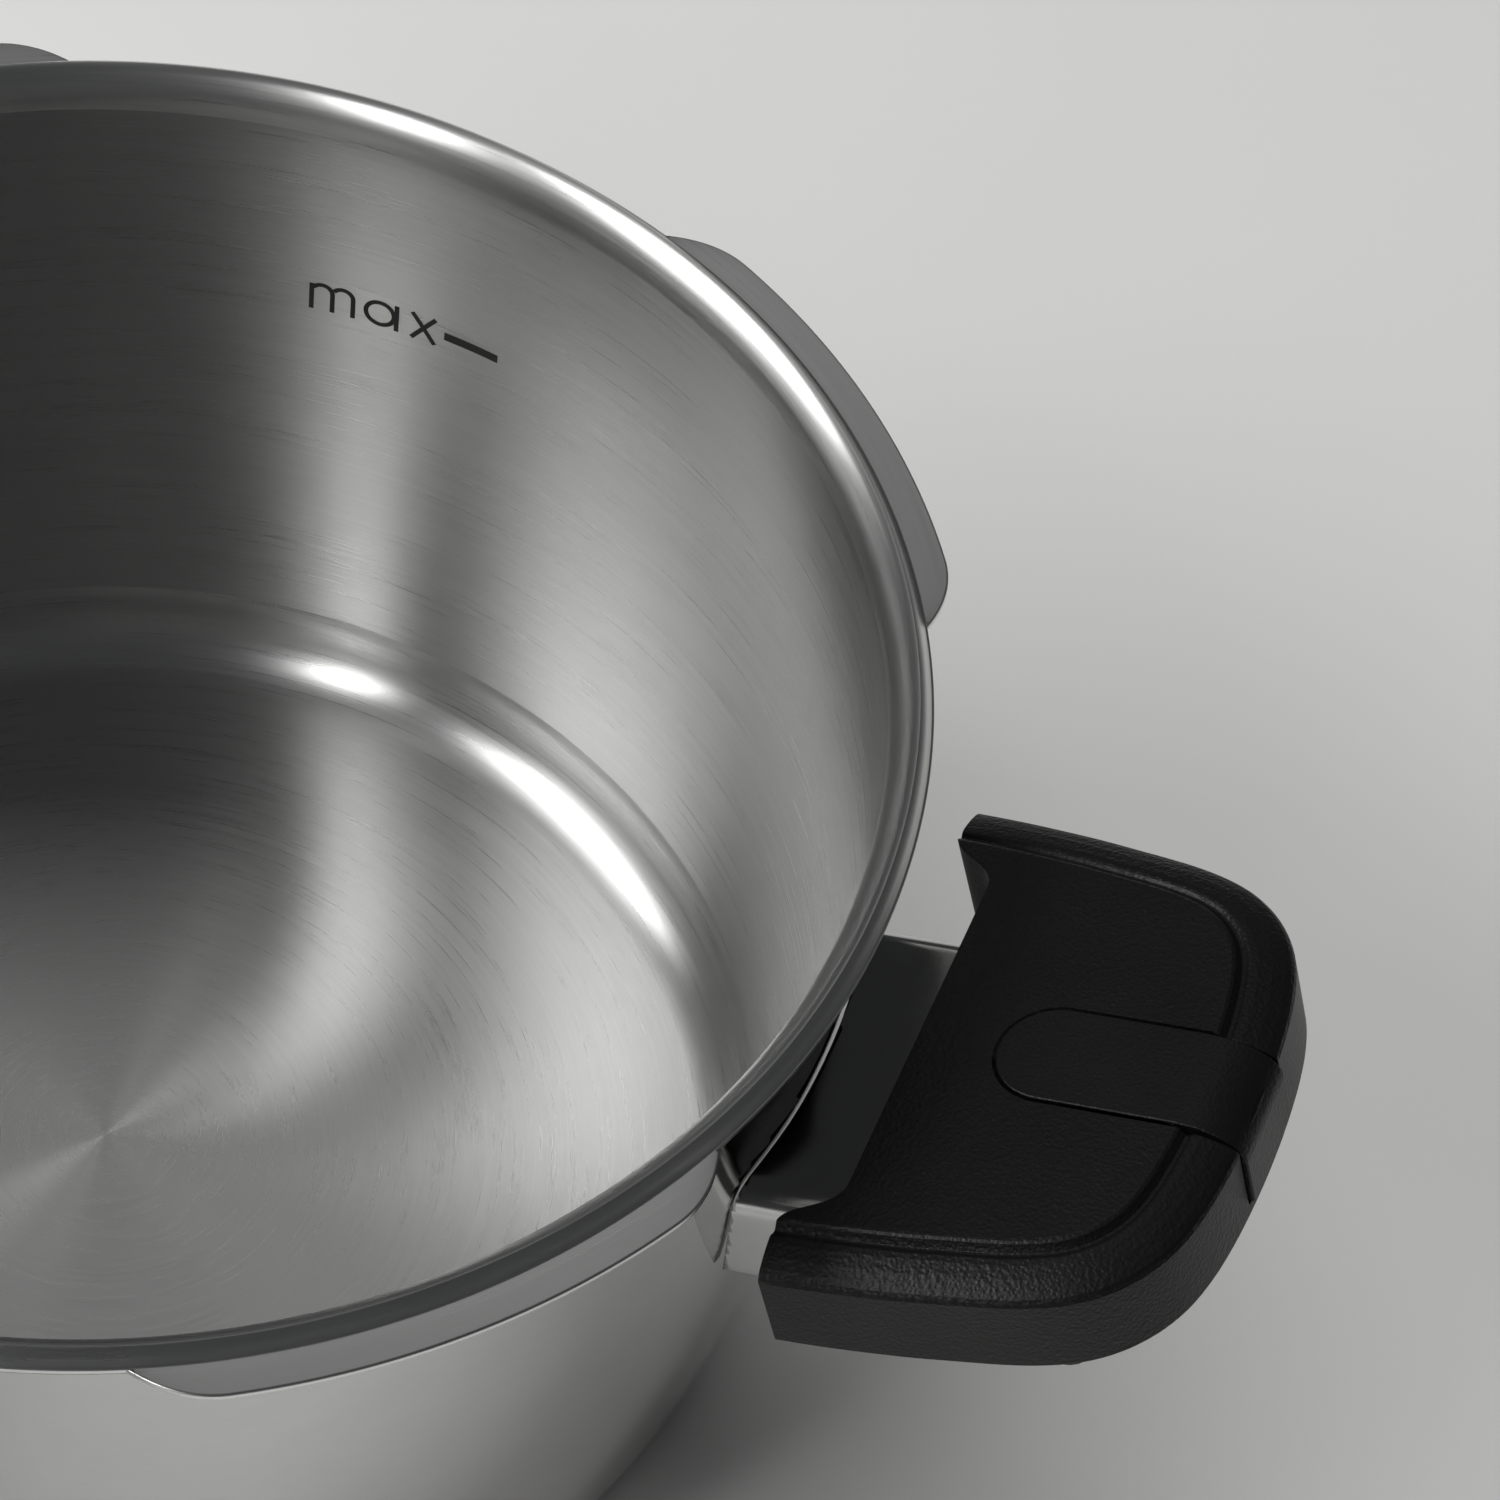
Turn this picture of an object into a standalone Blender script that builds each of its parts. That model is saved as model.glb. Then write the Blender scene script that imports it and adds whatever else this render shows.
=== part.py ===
"""Stovetop pressure cooker, 22 cm: the open pot on the table and its bayonet lid, turned over beside it.

The row's origin is the middle of the pot's underside, +Z is up and the two side handles lie along X.
"""
import math

import bmesh
import bpy
from mathutils import Matrix, Vector

MM = 0.001

# Pot: radii and heights in millimetres, heights from the table
RIM_Z = 128.0            # shoulder of the rim
WALL_R = 110.0           # inside of the wall
SHEET = 0.8              # thickness of the drawn sheet
FLOOR_Z = 8.4            # inside of the floor
BELLY_Z = 93.0           # below this the wall curves inwards
BELLY_R = 317.0          # radius of that curve, taken as a parabola
CORNER_R = 10.0          # inside corner between wall and floor
LUG_R = 121.2
FLANGE_R = 116.1         # edge of the rim between the lugs
LUG_COUNT = 4
LUG_ANGLE = 48.7         # direction of the first lug, degrees
LUG_ROOT = 21.0          # half width of a lug at its root, degrees
LUG_TIP = 15.5           # half width at its outer edge, degrees
CREASE_R = 115.9         # where the rim slope meets the lugs
RIM_STEPS = 60
GAP = 0.3                # clearance between touching pieces

# Base
BASE_R = 95.5
BASE_SKIN = 0.6
CORE_TOP = 7.3

# Side handles: u outwards, v sideways and w upwards in a frame that is tilted up towards its tip
GRIP_X = 120.0
GRIP_Z = 107.9
GRIP_TILT = math.radians(16.9)
GRIP_DEPTH = 16.0
GRIP_HALF = 43.5
GRIP_TIP_U = 52.5
GRIP_INNER_U = 3.8
GRIP_WING_U = -3.8
GRIP_NOTCH_V = 30.0
BRACKET_HALF = 25.5
BRACKET_TOP_W = -10.0
BRACKET_HEIGHT = 17.0
BRACKET_END_U = 30.0
BRACKET_SHEET = 1.5
COVER_THICK = 3.0
COVER_INSET = 3.2        # how far the under-cover stays inside the grip
TROUGH_HALF = 29.2
TROUGH_WALL = 2.4
INLAY_HALF = 8.0
INLAY_START_U = 15.5
SCREW_U = 14.0
SCREW_V = 34.5
SCREW_LENGTH = 9.5
SCREW_BORE = 1.8

# Lid: heights from the rim's shoulder, in the lid's own frame
LID_TOP = 22.0
LID_SHEET = 1.2
LID_FLAT_R = 80.0
LID_R = 126.4
SKIRT_Z = -9.6
TAB_R = 118.2
TAB_HALF = 17.0          # half width of a tab, degrees
HANDLE_TOP = 61.7
HANDLE_ANGLE = 45.0      # direction of the lid's handle before the lid is turned shut
FITTING_R = 56.0         # distance of the valves from the lid's middle
HANDLE_REACH = 58.0      # half length of the lid's handle
HANDLE_HALF = 16.0
BAR_TOP = 57.2           # top of the finger bar, under its cap
VALVE_BORE = 5.3

# Where the turned-over lid lies: the hinge that stands in for lifting it off
FLIP_DIRECTION = math.radians(-120.0)
FLIP_R = 135.0
FLIP_Z = 95.0


def clear_scene():
    for obj in list(bpy.data.objects):
        bpy.data.objects.remove(obj, do_unlink=True)


def new_collection(name):
    coll = bpy.data.collections.new(name)
    bpy.context.scene.collection.children.link(coll)
    return coll


def make_material(name, colour, roughness, metallic):
    mat = bpy.data.materials.new(name)
    mat.use_nodes = True
    shader = mat.node_tree.nodes["Principled BSDF"]
    shader.inputs["Base Color"].default_value = (*colour, 1.0)
    shader.inputs["Roughness"].default_value = roughness
    shader.inputs["Metallic"].default_value = metallic
    return mat


clear_scene()
PARTS = new_collection("pressure_cooker")
CUTTERS = new_collection("cutters")
STEEL = make_material("steel", (0.62, 0.62, 0.61), 0.28, 1.0)
POLISHED = make_material("polished_steel", (0.66, 0.66, 0.65), 0.1, 1.0)
ALUMINIUM = make_material("aluminium", (0.75, 0.75, 0.76), 0.4, 1.0)
BLACK = make_material("black_plastic", (0.012, 0.012, 0.012), 0.55, 0.0)
SILICONE = make_material("silicone", (0.45, 0.45, 0.44), 0.6, 0.0)
ZINC = make_material("zinc", (0.55, 0.55, 0.54), 0.35, 1.0)
SPRING_WIRE = make_material("spring_wire", (0.5, 0.5, 0.5), 0.3, 1.0)


def new_empty(name, matrix):
    empty = bpy.data.objects.new(name, None)
    PARTS.objects.link(empty)
    empty.matrix_world = matrix
    return empty


def place(obj, frame, at=(0.0, 0.0, 0.0), rotation=(0.0, 0.0, 0.0)):
    """Put an object in a parent frame, its position given in millimetres."""
    obj.parent = frame
    obj.location = Vector(at) * MM
    obj.rotation_euler = rotation


def add_object(name, mesh, mat):
    """Link a part, or a cutter when it has no material."""
    obj = bpy.data.objects.new(name, mesh)
    if mat is None:
        CUTTERS.objects.link(obj)
        obj.hide_render = True
        obj.display_type = "WIRE"
    else:
        PARTS.objects.link(obj)
        mesh.materials.append(mat)
    return obj


def turned(name, profile, mat, steps=16, closed=False):
    """A turned piece: its (r, z) profile runs down the outer side; closed profiles make rings."""
    verts = [(r * MM, 0.0, z * MM) for r, z in profile]
    edges = [(i, i + 1) for i in range(len(verts) - 1)]
    if closed:
        edges.append((len(verts) - 1, 0))
    mesh = bpy.data.meshes.new(name)
    mesh.from_pydata(verts, edges, [])
    obj = add_object(name, mesh, mat)
    screw = obj.modifiers.new("turn", "SCREW")
    screw.axis = "Z"
    screw.angle = 2 * math.pi
    screw.steps = steps
    screw.render_steps = steps
    screw.use_merge_vertices = True
    screw.merge_threshold = 0.00001
    screw.use_smooth_shade = True
    return obj


def rod(name, radius, low, high, mat, steps=16):
    """A plain solid cylinder."""
    return turned(name, [(0, high), (radius, high), (radius, low), (0, low)], mat, steps)


def arc(centre, radius, start, end, count):
    """Points on an arc, angles in degrees."""
    points = []
    for i in range(count + 1):
        angle = math.radians(start + (end - start) * i / count)
        points.append((centre[0] + radius * math.cos(angle), centre[1] + radius * math.sin(angle)))
    return points


def outline_solid(name, outline, low, high, mat, upright=False):
    """A flat outline with thickness. Upright outlines are drawn in u and w and have their thickness along v."""
    data = bpy.data.curves.new(name, "CURVE")
    data.dimensions = "2D"
    data.fill_mode = "BOTH"
    data.extrude = (high - low) / 2 * MM
    spline = data.splines.new("POLY")
    spline.points.add(len(outline) - 1)
    for point, (x, y) in zip(spline.points, outline):
        point.co = (x * MM, y * MM, 0.0, 1.0)
    spline.use_cyclic_u = True
    guide = bpy.data.objects.new(name + "_outline", data)
    PARTS.objects.link(guide)
    middle = (low + high) / 2 * MM
    if upright:
        transform = Matrix.Translation((0.0, middle, 0.0)) @ Matrix.Rotation(math.radians(90), 4, "X")
    else:
        transform = Matrix.Translation((0.0, 0.0, middle))
    mesh = bpy.data.meshes.new_from_object(guide.evaluated_get(bpy.context.evaluated_depsgraph_get()))
    bpy.data.objects.remove(guide)
    mesh.transform(transform)
    bm = bmesh.new()
    bm.from_mesh(mesh)
    bmesh.ops.remove_doubles(bm, verts=bm.verts, dist=0.00001)
    bmesh.ops.dissolve_limit(bm, angle_limit=0.001, verts=bm.verts, edges=bm.edges)
    bmesh.ops.recalc_face_normals(bm, faces=bm.faces)
    bm.to_mesh(mesh)
    bm.free()
    mesh.name = name
    return add_object(name, mesh, mat)


def boolean(obj, other, operation="DIFFERENCE"):
    mod = obj.modifiers.new(operation.lower(), "BOOLEAN")
    mod.operation = operation
    mod.object = other
    mod.solver = "EXACT"


def soften(obj, width, segments=2, angle=40.0):
    """Round the sharp edges of a piece."""
    mod = obj.modifiers.new("soften", "BEVEL")
    mod.width = width * MM
    mod.segments = segments
    mod.limit_method = "ANGLE"
    mod.angle_limit = math.radians(angle)


def rounded_box(name, low, high, mat, corner=0.0):
    """A block between two corners, its outline's corners cut round."""
    (x0, y0, z0), (x1, y1, z1) = low, high
    if corner > 0:
        outline = arc((x1 - corner, y1 - corner), corner, 0, 90, 3)
        outline += arc((x0 + corner, y1 - corner), corner, 90, 180, 3)
        outline += arc((x0 + corner, y0 + corner), corner, 180, 270, 3)
        outline += arc((x1 - corner, y0 + corner), corner, 270, 360, 3)
    else:
        outline = [(x1, y0), (x1, y1), (x0, y1), (x0, y0)]
    return outline_solid(name, outline, z0, z1, mat)


# ---------------------------------------------------------------- pot

def belly(z):
    """How far the wall has curved inwards at a height."""
    depth = max(0.0, BELLY_Z - z)
    return depth * depth / (2 * BELLY_R)


def sector_outline(r_low, r_high, half_low, half_high, middle):
    """A ring sector whose sides slant: half widths in degrees at its inner and outer radius."""
    inner = arc((0, 0), r_low, middle + half_low, middle - half_low, 10)
    outer = arc((0, 0), r_high, middle - half_high, middle + half_high, 10)
    return inner + outer


def make_pot():
    corner_z = FLOOR_Z + CORNER_R
    corner_top = corner_z - CORNER_R * 0.24
    corner_x = WALL_R - belly(corner_top) - CORNER_R * 0.97
    inside = [(0, FLOOR_Z)]
    inside += arc((corner_x, corner_z), CORNER_R, -90, -14, 4)
    inside += [(WALL_R - belly(z), z) for z in (34, 54, 74)]
    inside += [(WALL_R, BELLY_Z), (WALL_R, RIM_Z - 2.0), (WALL_R + 0.9, RIM_Z + 0.1)]
    rim = [(111.6, 0.25), (113.0, 0.0), (CREASE_R, -2.0), (LUG_R, -2.2), (LUG_R, -3.2)]
    rim += [(CREASE_R - 0.2, -3.1), (112.7, -1.3), (111.3, -1.7)]
    rim = [(r, RIM_Z + z) for r, z in rim]
    outer_r = WALL_R + SHEET
    outside = [(outer_r, RIM_Z - 3.0), (outer_r, BELLY_Z)]
    outside += [(outer_r - belly(z), z) for z in (74, 54, 34)]
    outside += arc((corner_x, corner_z), CORNER_R + SHEET, -14, -90, 4)
    outside += [(0, FLOOR_Z - SHEET)]
    pot = turned("pot_body", inside + rim + outside, STEEL, RIM_STEPS)
    for i in range(LUG_COUNT):
        middle = LUG_ANGLE + 45.0 + 90.0 * i
        outline = sector_outline(FLANGE_R, LUG_R + 4, 45 - LUG_ROOT, 45 - LUG_TIP + 3, middle)
        cutter = outline_solid(f"lug_gap_{i}", outline, RIM_Z - 6, RIM_Z + 4, None)
        boolean(pot, cutter)

    core = [(0, CORE_TOP), (BASE_R - 0.9, CORE_TOP), (BASE_R - 0.9, 2.6), (BASE_R - 2.2, 0.9), (0, 0.9)]
    turned("base_core", core, ALUMINIUM, 48)
    cap = [(0, BASE_SKIN), (BASE_R - 2.1, BASE_SKIN), (BASE_R - BASE_SKIN, 2.4), (BASE_R - BASE_SKIN, 7.9)]
    cap += [(BASE_R, 7.9), (BASE_R, 2.0), (BASE_R - 2.0, 0), (0, 0)]
    turned("base_cap", cap, STEEL, 48)


# ---------------------------------------------------------------- side handles

def grip_outline(inset=0.0):
    """Plan of the grip: straight inner edge between two wings, and a rounded outer edge."""
    half = [(GRIP_INNER_U + inset, 0.0), (GRIP_INNER_U + inset, GRIP_NOTCH_V + inset)]
    half += [(GRIP_WING_U + inset, 34.5 + inset), (GRIP_WING_U + inset, GRIP_HALF - inset)]
    half += [(15.6, 42.2 - inset), (30.2, 40.0 - inset)]
    half += [(39.0 - inset * 0.4, 37.2 - inset * 0.9), (45.6 - inset * 0.7, 32.0 - inset * 0.7)]
    half += [(50.0 - inset * 0.9, 24.0 - inset * 0.4), (GRIP_TIP_U - inset, 10.0), (GRIP_TIP_U - inset, 0.0)]
    other = [(u, -v) for u, v in reversed(half[1:-1])]
    return half + other


def inlay_profile(grow):
    """Side view of the inlay: along the top of the grip, over its shoulder and down its outer wall."""
    top = 0.3 + grow
    out = GRIP_TIP_U + 0.8 + grow
    under = -1.2 - grow
    inner = GRIP_TIP_U - 0.8 - grow
    start = INLAY_START_U - grow
    points = [(start, under), (inner - 3.2, under), (inner, -4.2), (inner, -13.6 - grow)]
    points += [(out, -13.6 - grow), (out, -3.4), (out - 3.6, top), (start, top)]
    return points


def make_inlay(name, grow, mat):
    """The tongue-shaped strip; grown, it is the cutter of its own recess."""
    strip = outline_solid(name, inlay_profile(grow), -INLAY_HALF - grow, INLAY_HALF + grow, mat, upright=True)
    round_end = arc((INLAY_START_U + INLAY_HALF, 0), INLAY_HALF + grow, 90, 270, 8)
    outer_end = [(70, -INLAY_HALF - grow), (70, INLAY_HALF + grow)]
    plan = outline_solid(name + "_plan", round_end + outer_end, -30, 10, None)
    boolean(strip, plan, "INTERSECT")
    return strip, plan


def make_screw(name, frame, at, head_r, head_h, shank_r, length):
    """A pan-head screw that points up, its head's bearing face at the given point."""
    profile = [(0, length), (shank_r * 0.6, length), (shank_r, length - 1.2), (shank_r, 0)]
    profile += [(head_r, 0), (head_r, -head_h * 0.5), (head_r * 0.7, -head_h), (0, -head_h)]
    screw = turned(name, profile, ZINC, 12)
    place(screw, frame, at)
    return screw


def make_side_handle(side, turn):
    base = new_empty(f"handle_{side}", Matrix.Rotation(math.radians(turn), 4, "Z"))
    tilt = (Matrix.Rotation(math.radians(turn), 4, "Z") @ Matrix.Translation((GRIP_X * MM, 0, GRIP_Z * MM))
            @ Matrix.Rotation(-GRIP_TILT, 4, "Y"))
    frame = new_empty(f"grip_frame_{side}", tilt)

    # bracket: an open channel of pressed sheet, its end fitted to the wall
    corner = 4.0
    half = BRACKET_HALF
    section = [(-half, BRACKET_TOP_W - BRACKET_HEIGHT)]
    section += [(v - half + corner, w + BRACKET_TOP_W - corner) for v, w in arc((0, 0), corner, 180, 90, 3)]
    section += [(-v, w) for v, w in reversed(section)]
    bm = bmesh.new()
    rings = []
    for u in (-24.0, BRACKET_END_U):
        rings.append([bm.verts.new((u * MM, v * MM, w * MM)) for v, w in section])
    for i in range(len(section) - 1):
        bm.faces.new((rings[0][i], rings[0][i + 1], rings[1][i + 1], rings[1][i]))
    bmesh.ops.recalc_face_normals(bm, faces=bm.faces)
    mesh = bpy.data.meshes.new(f"bracket_{side}")
    bm.to_mesh(mesh)
    bm.free()
    bracket = add_object(f"bracket_{side}", mesh, POLISHED)
    place(bracket, frame)
    wall = bracket.modifiers.new("sheet", "SOLIDIFY")
    wall.thickness = BRACKET_SHEET * MM
    wall.offset = 0.0
    fit = rod(f"wall_fit_{side}", WALL_R + SHEET + GAP, 60, 126, None, RIM_STEPS)
    place(fit, base)
    boolean(bracket, fit)

    # grip: solid moulding with a pocket for the bracket
    grip = outline_solid(f"grip_upper_{side}", grip_outline(), -GRIP_DEPTH, 0, BLACK)
    place(grip, frame)
    weights = grip.data.attributes.new("bevel_weight_edge", "FLOAT", "EDGE")
    for edge in grip.data.edges:
        ends = [grip.data.vertices[i].co.z for i in edge.vertices]
        weights.data[edge.index].value = 1.0 if min(ends) > -0.5 * MM else 0.0
    shoulder = grip.modifiers.new("shoulder", "BEVEL")
    shoulder.limit_method = "WEIGHT"
    shoulder.width = 3.6 * MM
    shoulder.segments = 2
    pocket_half = BRACKET_HALF + BRACKET_SHEET / 2 + GAP
    pocket_top = BRACKET_TOP_W + BRACKET_SHEET / 2 + GAP
    pocket = rounded_box(f"grip_pocket_{side}", (GRIP_WING_U - 4, -pocket_half, -GRIP_DEPTH - 2),
                         (BRACKET_END_U + GAP, pocket_half, pocket_top), None)
    place(pocket, frame)
    boolean(grip, pocket)
    recess, recess_plan = make_inlay(f"inlay_recess_{side}", GAP, None)
    place(recess, frame)
    place(recess_plan, frame)
    boolean(grip, recess)

    inlay, inlay_plan = make_inlay(f"grip_inlay_{side}", 0.0, BLACK)
    place(inlay, frame)
    place(inlay_plan, frame)

    # under-cover: a plate with a trough round the bracket
    cover_top = -GRIP_DEPTH - GAP
    cover_low = cover_top - COVER_THICK
    cover = outline_solid(f"grip_lower_{side}", grip_outline(COVER_INSET), cover_low, cover_top, BLACK)
    place(cover, frame)
    trough_low = BRACKET_TOP_W - BRACKET_HEIGHT - GAP - TROUGH_WALL
    trough = rounded_box(f"grip_trough_{side}", (GRIP_INNER_U + COVER_INSET, -TROUGH_HALF, trough_low),
                         (BRACKET_END_U + 4, TROUGH_HALF, cover_top - 0.5), None, 3.0)
    place(trough, frame)
    boolean(cover, trough, "UNION")
    hollow = rounded_box(f"grip_hollow_{side}", (GRIP_WING_U - 4, -pocket_half, trough_low + TROUGH_WALL),
                         (BRACKET_END_U + GAP, pocket_half, cover_top + 2), None)
    place(hollow, frame)
    boolean(cover, hollow)

    for i, v in ((1, SCREW_V), (2, -SCREW_V)):
        under = cover_low - GAP
        make_screw(f"grip_screw_{side}_{i}", frame, (SCREW_U, v, under), 3.0, 2.0, 1.5, SCREW_LENGTH)
        hole = rod(f"grip_screw_hole_{side}_{i}", SCREW_BORE, under - 1, under + SCREW_LENGTH + 0.7, None, 12)
        place(hole, frame, (SCREW_U, v, 0))
        boolean(grip, hole)
        boolean(cover, hole)


# ---------------------------------------------------------------- lid

def make_lid_frame():
    """The lid's frame, turned over about the stand-in hinge."""
    d = Vector((math.cos(FLIP_DIRECTION), math.sin(FLIP_DIRECTION), 0.0))
    hinge = d * FLIP_R * MM + Vector((0, 0, FLIP_Z * MM))
    axis = Vector((d.y, -d.x, 0.0))
    over = Matrix.Translation(hinge) @ Matrix.Rotation(math.pi, 4, axis) @ Matrix.Translation(-hinge)
    return new_empty("lid_frame", over @ Matrix.Translation((0, 0, RIM_Z * MM)))


def on_lid(radius, angle):
    """A point of the lid's plan."""
    a = math.radians(angle)
    return radius * math.cos(a), radius * math.sin(a)


def make_lid(frame):
    top = LID_TOP
    under = LID_TOP - LID_SHEET
    profile = [(0, top), (LID_FLAT_R, top), (95, 19.5), (106, 14), (110.5, 8.8), (113, 7.8), (122.5, 7.8)]
    profile += [(125.4, 6.4), (LID_R, 3.5), (LID_R, SKIRT_Z), (TAB_R, SKIRT_Z), (TAB_R, SKIRT_Z + 1.4)]
    profile += [(LID_R - 1.4, SKIRT_Z + 1.4), (LID_R - 1.4, 3.0), (124.2, 5.6), (122, 6.6), (112.4, 6.6)]
    profile += [(109.4, 7.8), (105, 13), (94.4, 18.3), (LID_FLAT_R, under), (0, under)]
    shell = turned("lid_shell", profile, STEEL, RIM_STEPS)
    place(shell, frame)
    for i in range(LUG_COUNT):
        middle = LUG_ANGLE + 90.0 * i
        outline = sector_outline(TAB_R - 4, LID_R - 1.5, 45 - TAB_HALF, 45 - TAB_HALF, middle)
        cutter = outline_solid(f"tab_gap_{i}", outline, SKIRT_Z - 1, SKIRT_Z + 1.5, None)
        place(cutter, frame)
        boolean(shell, cutter)

    ring = [(112.6, 6.2), (120.9, 6.2), (121.2, 3.4), (120.9, 0.6), (112.2, 0.6), (112.6, 2.0), (118.6, 2.4)]
    ring += [(118.6, 4.4)]
    gasket = turned("lid_gasket", ring, SILICONE, RIM_STEPS, closed=True)
    place(gasket, frame)
    return shell


def drill_lid(shell, frame, name, radius, at):
    cutter = rod(name, radius, LID_TOP - 6, LID_TOP + 4, None)
    place(cutter, frame, (*at, 0))
    boolean(shell, cutter)


def hex_nut(name, frame, at, across, bore, low, high):
    outline = arc((0, 0), across / math.sqrt(3), 0, 300, 5)
    nut = outline_solid(name, outline, low, high, ZINC)
    place(nut, frame, (*at, 0))
    cutter = rod(name + "_bore", bore, low - 1, high + 1, None)
    place(cutter, frame, (*at, 0))
    boolean(nut, cutter)


def washer(name, frame, at, inner, outer, low, high):
    ring = turned(name, [(inner, high), (outer, high), (outer, low), (inner, low)], SILICONE, closed=True)
    place(ring, frame, (*at, 0))


def coil_spring(name, frame, at, radius, wire, low, high, turns):
    """A compression spring: one helix of round wire."""
    per_turn = 9
    count = turns * per_turn
    data = bpy.data.curves.new(name, "CURVE")
    data.dimensions = "3D"
    data.bevel_depth = wire * MM
    data.bevel_resolution = 1
    data.use_fill_caps = True
    spline = data.splines.new("POLY")
    spline.points.add(count)
    for i, point in enumerate(spline.points):
        angle = 2 * math.pi * i / per_turn
        height = low + wire + (high - low - 2 * wire) * i / count
        point.co = (radius * math.cos(angle) * MM, radius * math.sin(angle) * MM, height * MM, 1.0)
    spring = bpy.data.objects.new(name, data)
    PARTS.objects.link(spring)
    data.materials.append(SPRING_WIRE)
    place(spring, frame, (*at, 0))


def make_lid_handle(shell, frame):
    """Central handle: pedestal and finger bar in one moulding, with a cap over its top."""
    seat = LID_TOP + GAP
    turn = (0.0, 0.0, math.radians(HANDLE_ANGLE))
    side = [(-33, seat), (33, seat)] + arc((45, seat + 12), 12, 180, 90, 3)
    side += [(HANDLE_REACH, seat + 25.5), (HANDLE_REACH, seat + 31), (52, BAR_TOP), (-52, BAR_TOP)]
    side += [(-HANDLE_REACH, seat + 31), (-HANDLE_REACH, seat + 25.5)] + arc((-45, seat + 12), 12, 90, 0, 3)
    body = outline_solid("lid_handle_body", side, -HANDLE_HALF, HANDLE_HALF, BLACK, upright=True)
    place(body, frame, (0, 0, 0), turn)
    cover = rounded_box("lid_handle_cover", (-48, -12.5, BAR_TOP + GAP), (48, 12.5, HANDLE_TOP), BLACK, 8.0)
    place(cover, frame, (0, 0, 0), turn)
    for i, reach in ((1, 20.0), (2, -20.0)):
        at = on_lid(reach, HANDLE_ANGLE)
        under = LID_TOP - LID_SHEET - GAP
        make_screw(f"lid_handle_screw_{i}", frame, (*at, under), 4.2, 2.4, 2.0, 14.0)
        drill_lid(shell, frame, f"lid_handle_hole_{i}", 2.3, at)
        bore = rod(f"handle_bore_{i}", 2.3, seat - 1, under + 14.5, None, 12)
        place(bore, frame, (*at, 0))
        boolean(body, bore)
    soften(body, 2.0, 2, 60.0)


def make_regulator(shell, frame):
    """Pressure regulator: stem through the lid, sprung poppet on its seat, and the selector knob."""
    at = on_lid(FITTING_R, HANDLE_ANGLE + 90)
    seat = LID_TOP + GAP
    drill_lid(shell, frame, "regulator_hole", VALVE_BORE, at)
    stem = [(4.2, 38), (6.0, 38), (6.0, seat + 2), (8.5, seat + 2), (8.5, seat), (5.0, seat), (5.0, 11)]
    stem += [(1.9, 11), (1.9, 26), (4.2, 28)]
    body = turned("regulator_body", stem, ZINC, closed=True)
    place(body, frame, (*at, 0))
    under = LID_TOP - LID_SHEET
    washer("regulator_seal", frame, at, VALVE_BORE, 9.0, under - GAP - 1.8, under - GAP)
    hex_nut("regulator_nut", frame, at, 15.0, VALVE_BORE, under - 6.6, under - 2.4)
    poppet = [(0, 31), (3.7, 31), (3.7, 28.6), (1.3, 26.2), (1.3, 24.5), (0, 24.5)]
    place(turned("vent_poppet", poppet, ZINC), frame, (*at, 0))
    coil_spring("vent_spring", frame, at, 3.0, 0.4, 31.3, 38.2, 4)
    knob = [(0, 46), (10, 46), (14.2, 44.5), (15, 42.5), (15, 27), (13.8, 26), (12.6, 26), (12.6, 36)]
    knob += [(6.5, 37), (6.5, 38.6), (0, 38.6)]
    dial = turned("selector_knob", knob, BLACK, 20)
    place(dial, frame, (*at, 0))
    pointer = rounded_box("selector_pointer", (-2.2, -12, 44), (2.2, 12, 48.4), None)
    place(pointer, frame, (*at, 0), (0.0, 0.0, math.radians(HANDLE_ANGLE + 90)))
    boolean(dial, pointer, "UNION")


def make_indicator(shell, frame):
    """Pressure indicator: a pin that slides in a bush; turned over, it hangs out to its stop."""
    at = on_lid(FITTING_R, HANDLE_ANGLE - 90)
    seat = LID_TOP + GAP
    drill_lid(shell, frame, "indicator_hole", 4.2, at)
    bush = [(2.2, seat + 2.4), (5.2, seat + 2.4), (7.0, seat + 1.2), (7.0, seat), (3.9, seat), (3.9, 16.4)]
    bush += [(2.2, 16.4)]
    place(turned("indicator_bush", bush, ZINC, closed=True), frame, (*at, 0))
    pin = [(0, 32), (1.2, 32), (1.9, 31.2), (1.9, 14.3), (3.4, 14.3), (3.4, 12.3), (0, 12.3)]
    place(turned("indicator_pin", pin, ZINC), frame, (*at, 0))
    washer("indicator_seal", frame, at, 2.2, 3.6, 14.6, 16.1)


def make_safety_valve(shell, frame):
    """Safety valve: plunger held down on its seat by a spring under a screwed ring."""
    at = on_lid(FITTING_R + 6, HANDLE_ANGLE - 40)
    seat = LID_TOP + GAP
    drill_lid(shell, frame, "safety_hole", VALVE_BORE, at)
    stem = [(3.6, 28), (6.4, 28), (6.4, seat + 2), (8.0, seat + 2), (8.0, seat), (5.0, seat), (5.0, 12.6)]
    stem += [(1.9, 12.6), (1.9, 16), (3.6, 17)]
    place(turned("safety_body", stem, ZINC, closed=True), frame, (*at, 0))
    under = LID_TOP - LID_SHEET
    washer("safety_seal", frame, at, VALVE_BORE, 8.6, under - GAP - 1.8, under - GAP)
    hex_nut("safety_nut", frame, at, 14.0, VALVE_BORE, under - 6.0, under - 2.4)
    plunger = [(0, 32), (1.1, 32), (1.1, 19.6), (3.1, 19.6), (3.1, 17.4), (1.6, 16.6), (1.6, 14), (0, 14)]
    place(turned("safety_plunger", plunger, ZINC), frame, (*at, 0))
    coil_spring("safety_spring", frame, at, 2.3, 0.4, 19.9, 28.0, 5)
    cap = [(1.5, 30), (5.6, 30), (6.4, 29.2), (6.4, 28.3), (1.5, 28.3)]
    place(turned("safety_cap", cap, ZINC, closed=True), frame, (*at, 0))


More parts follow.
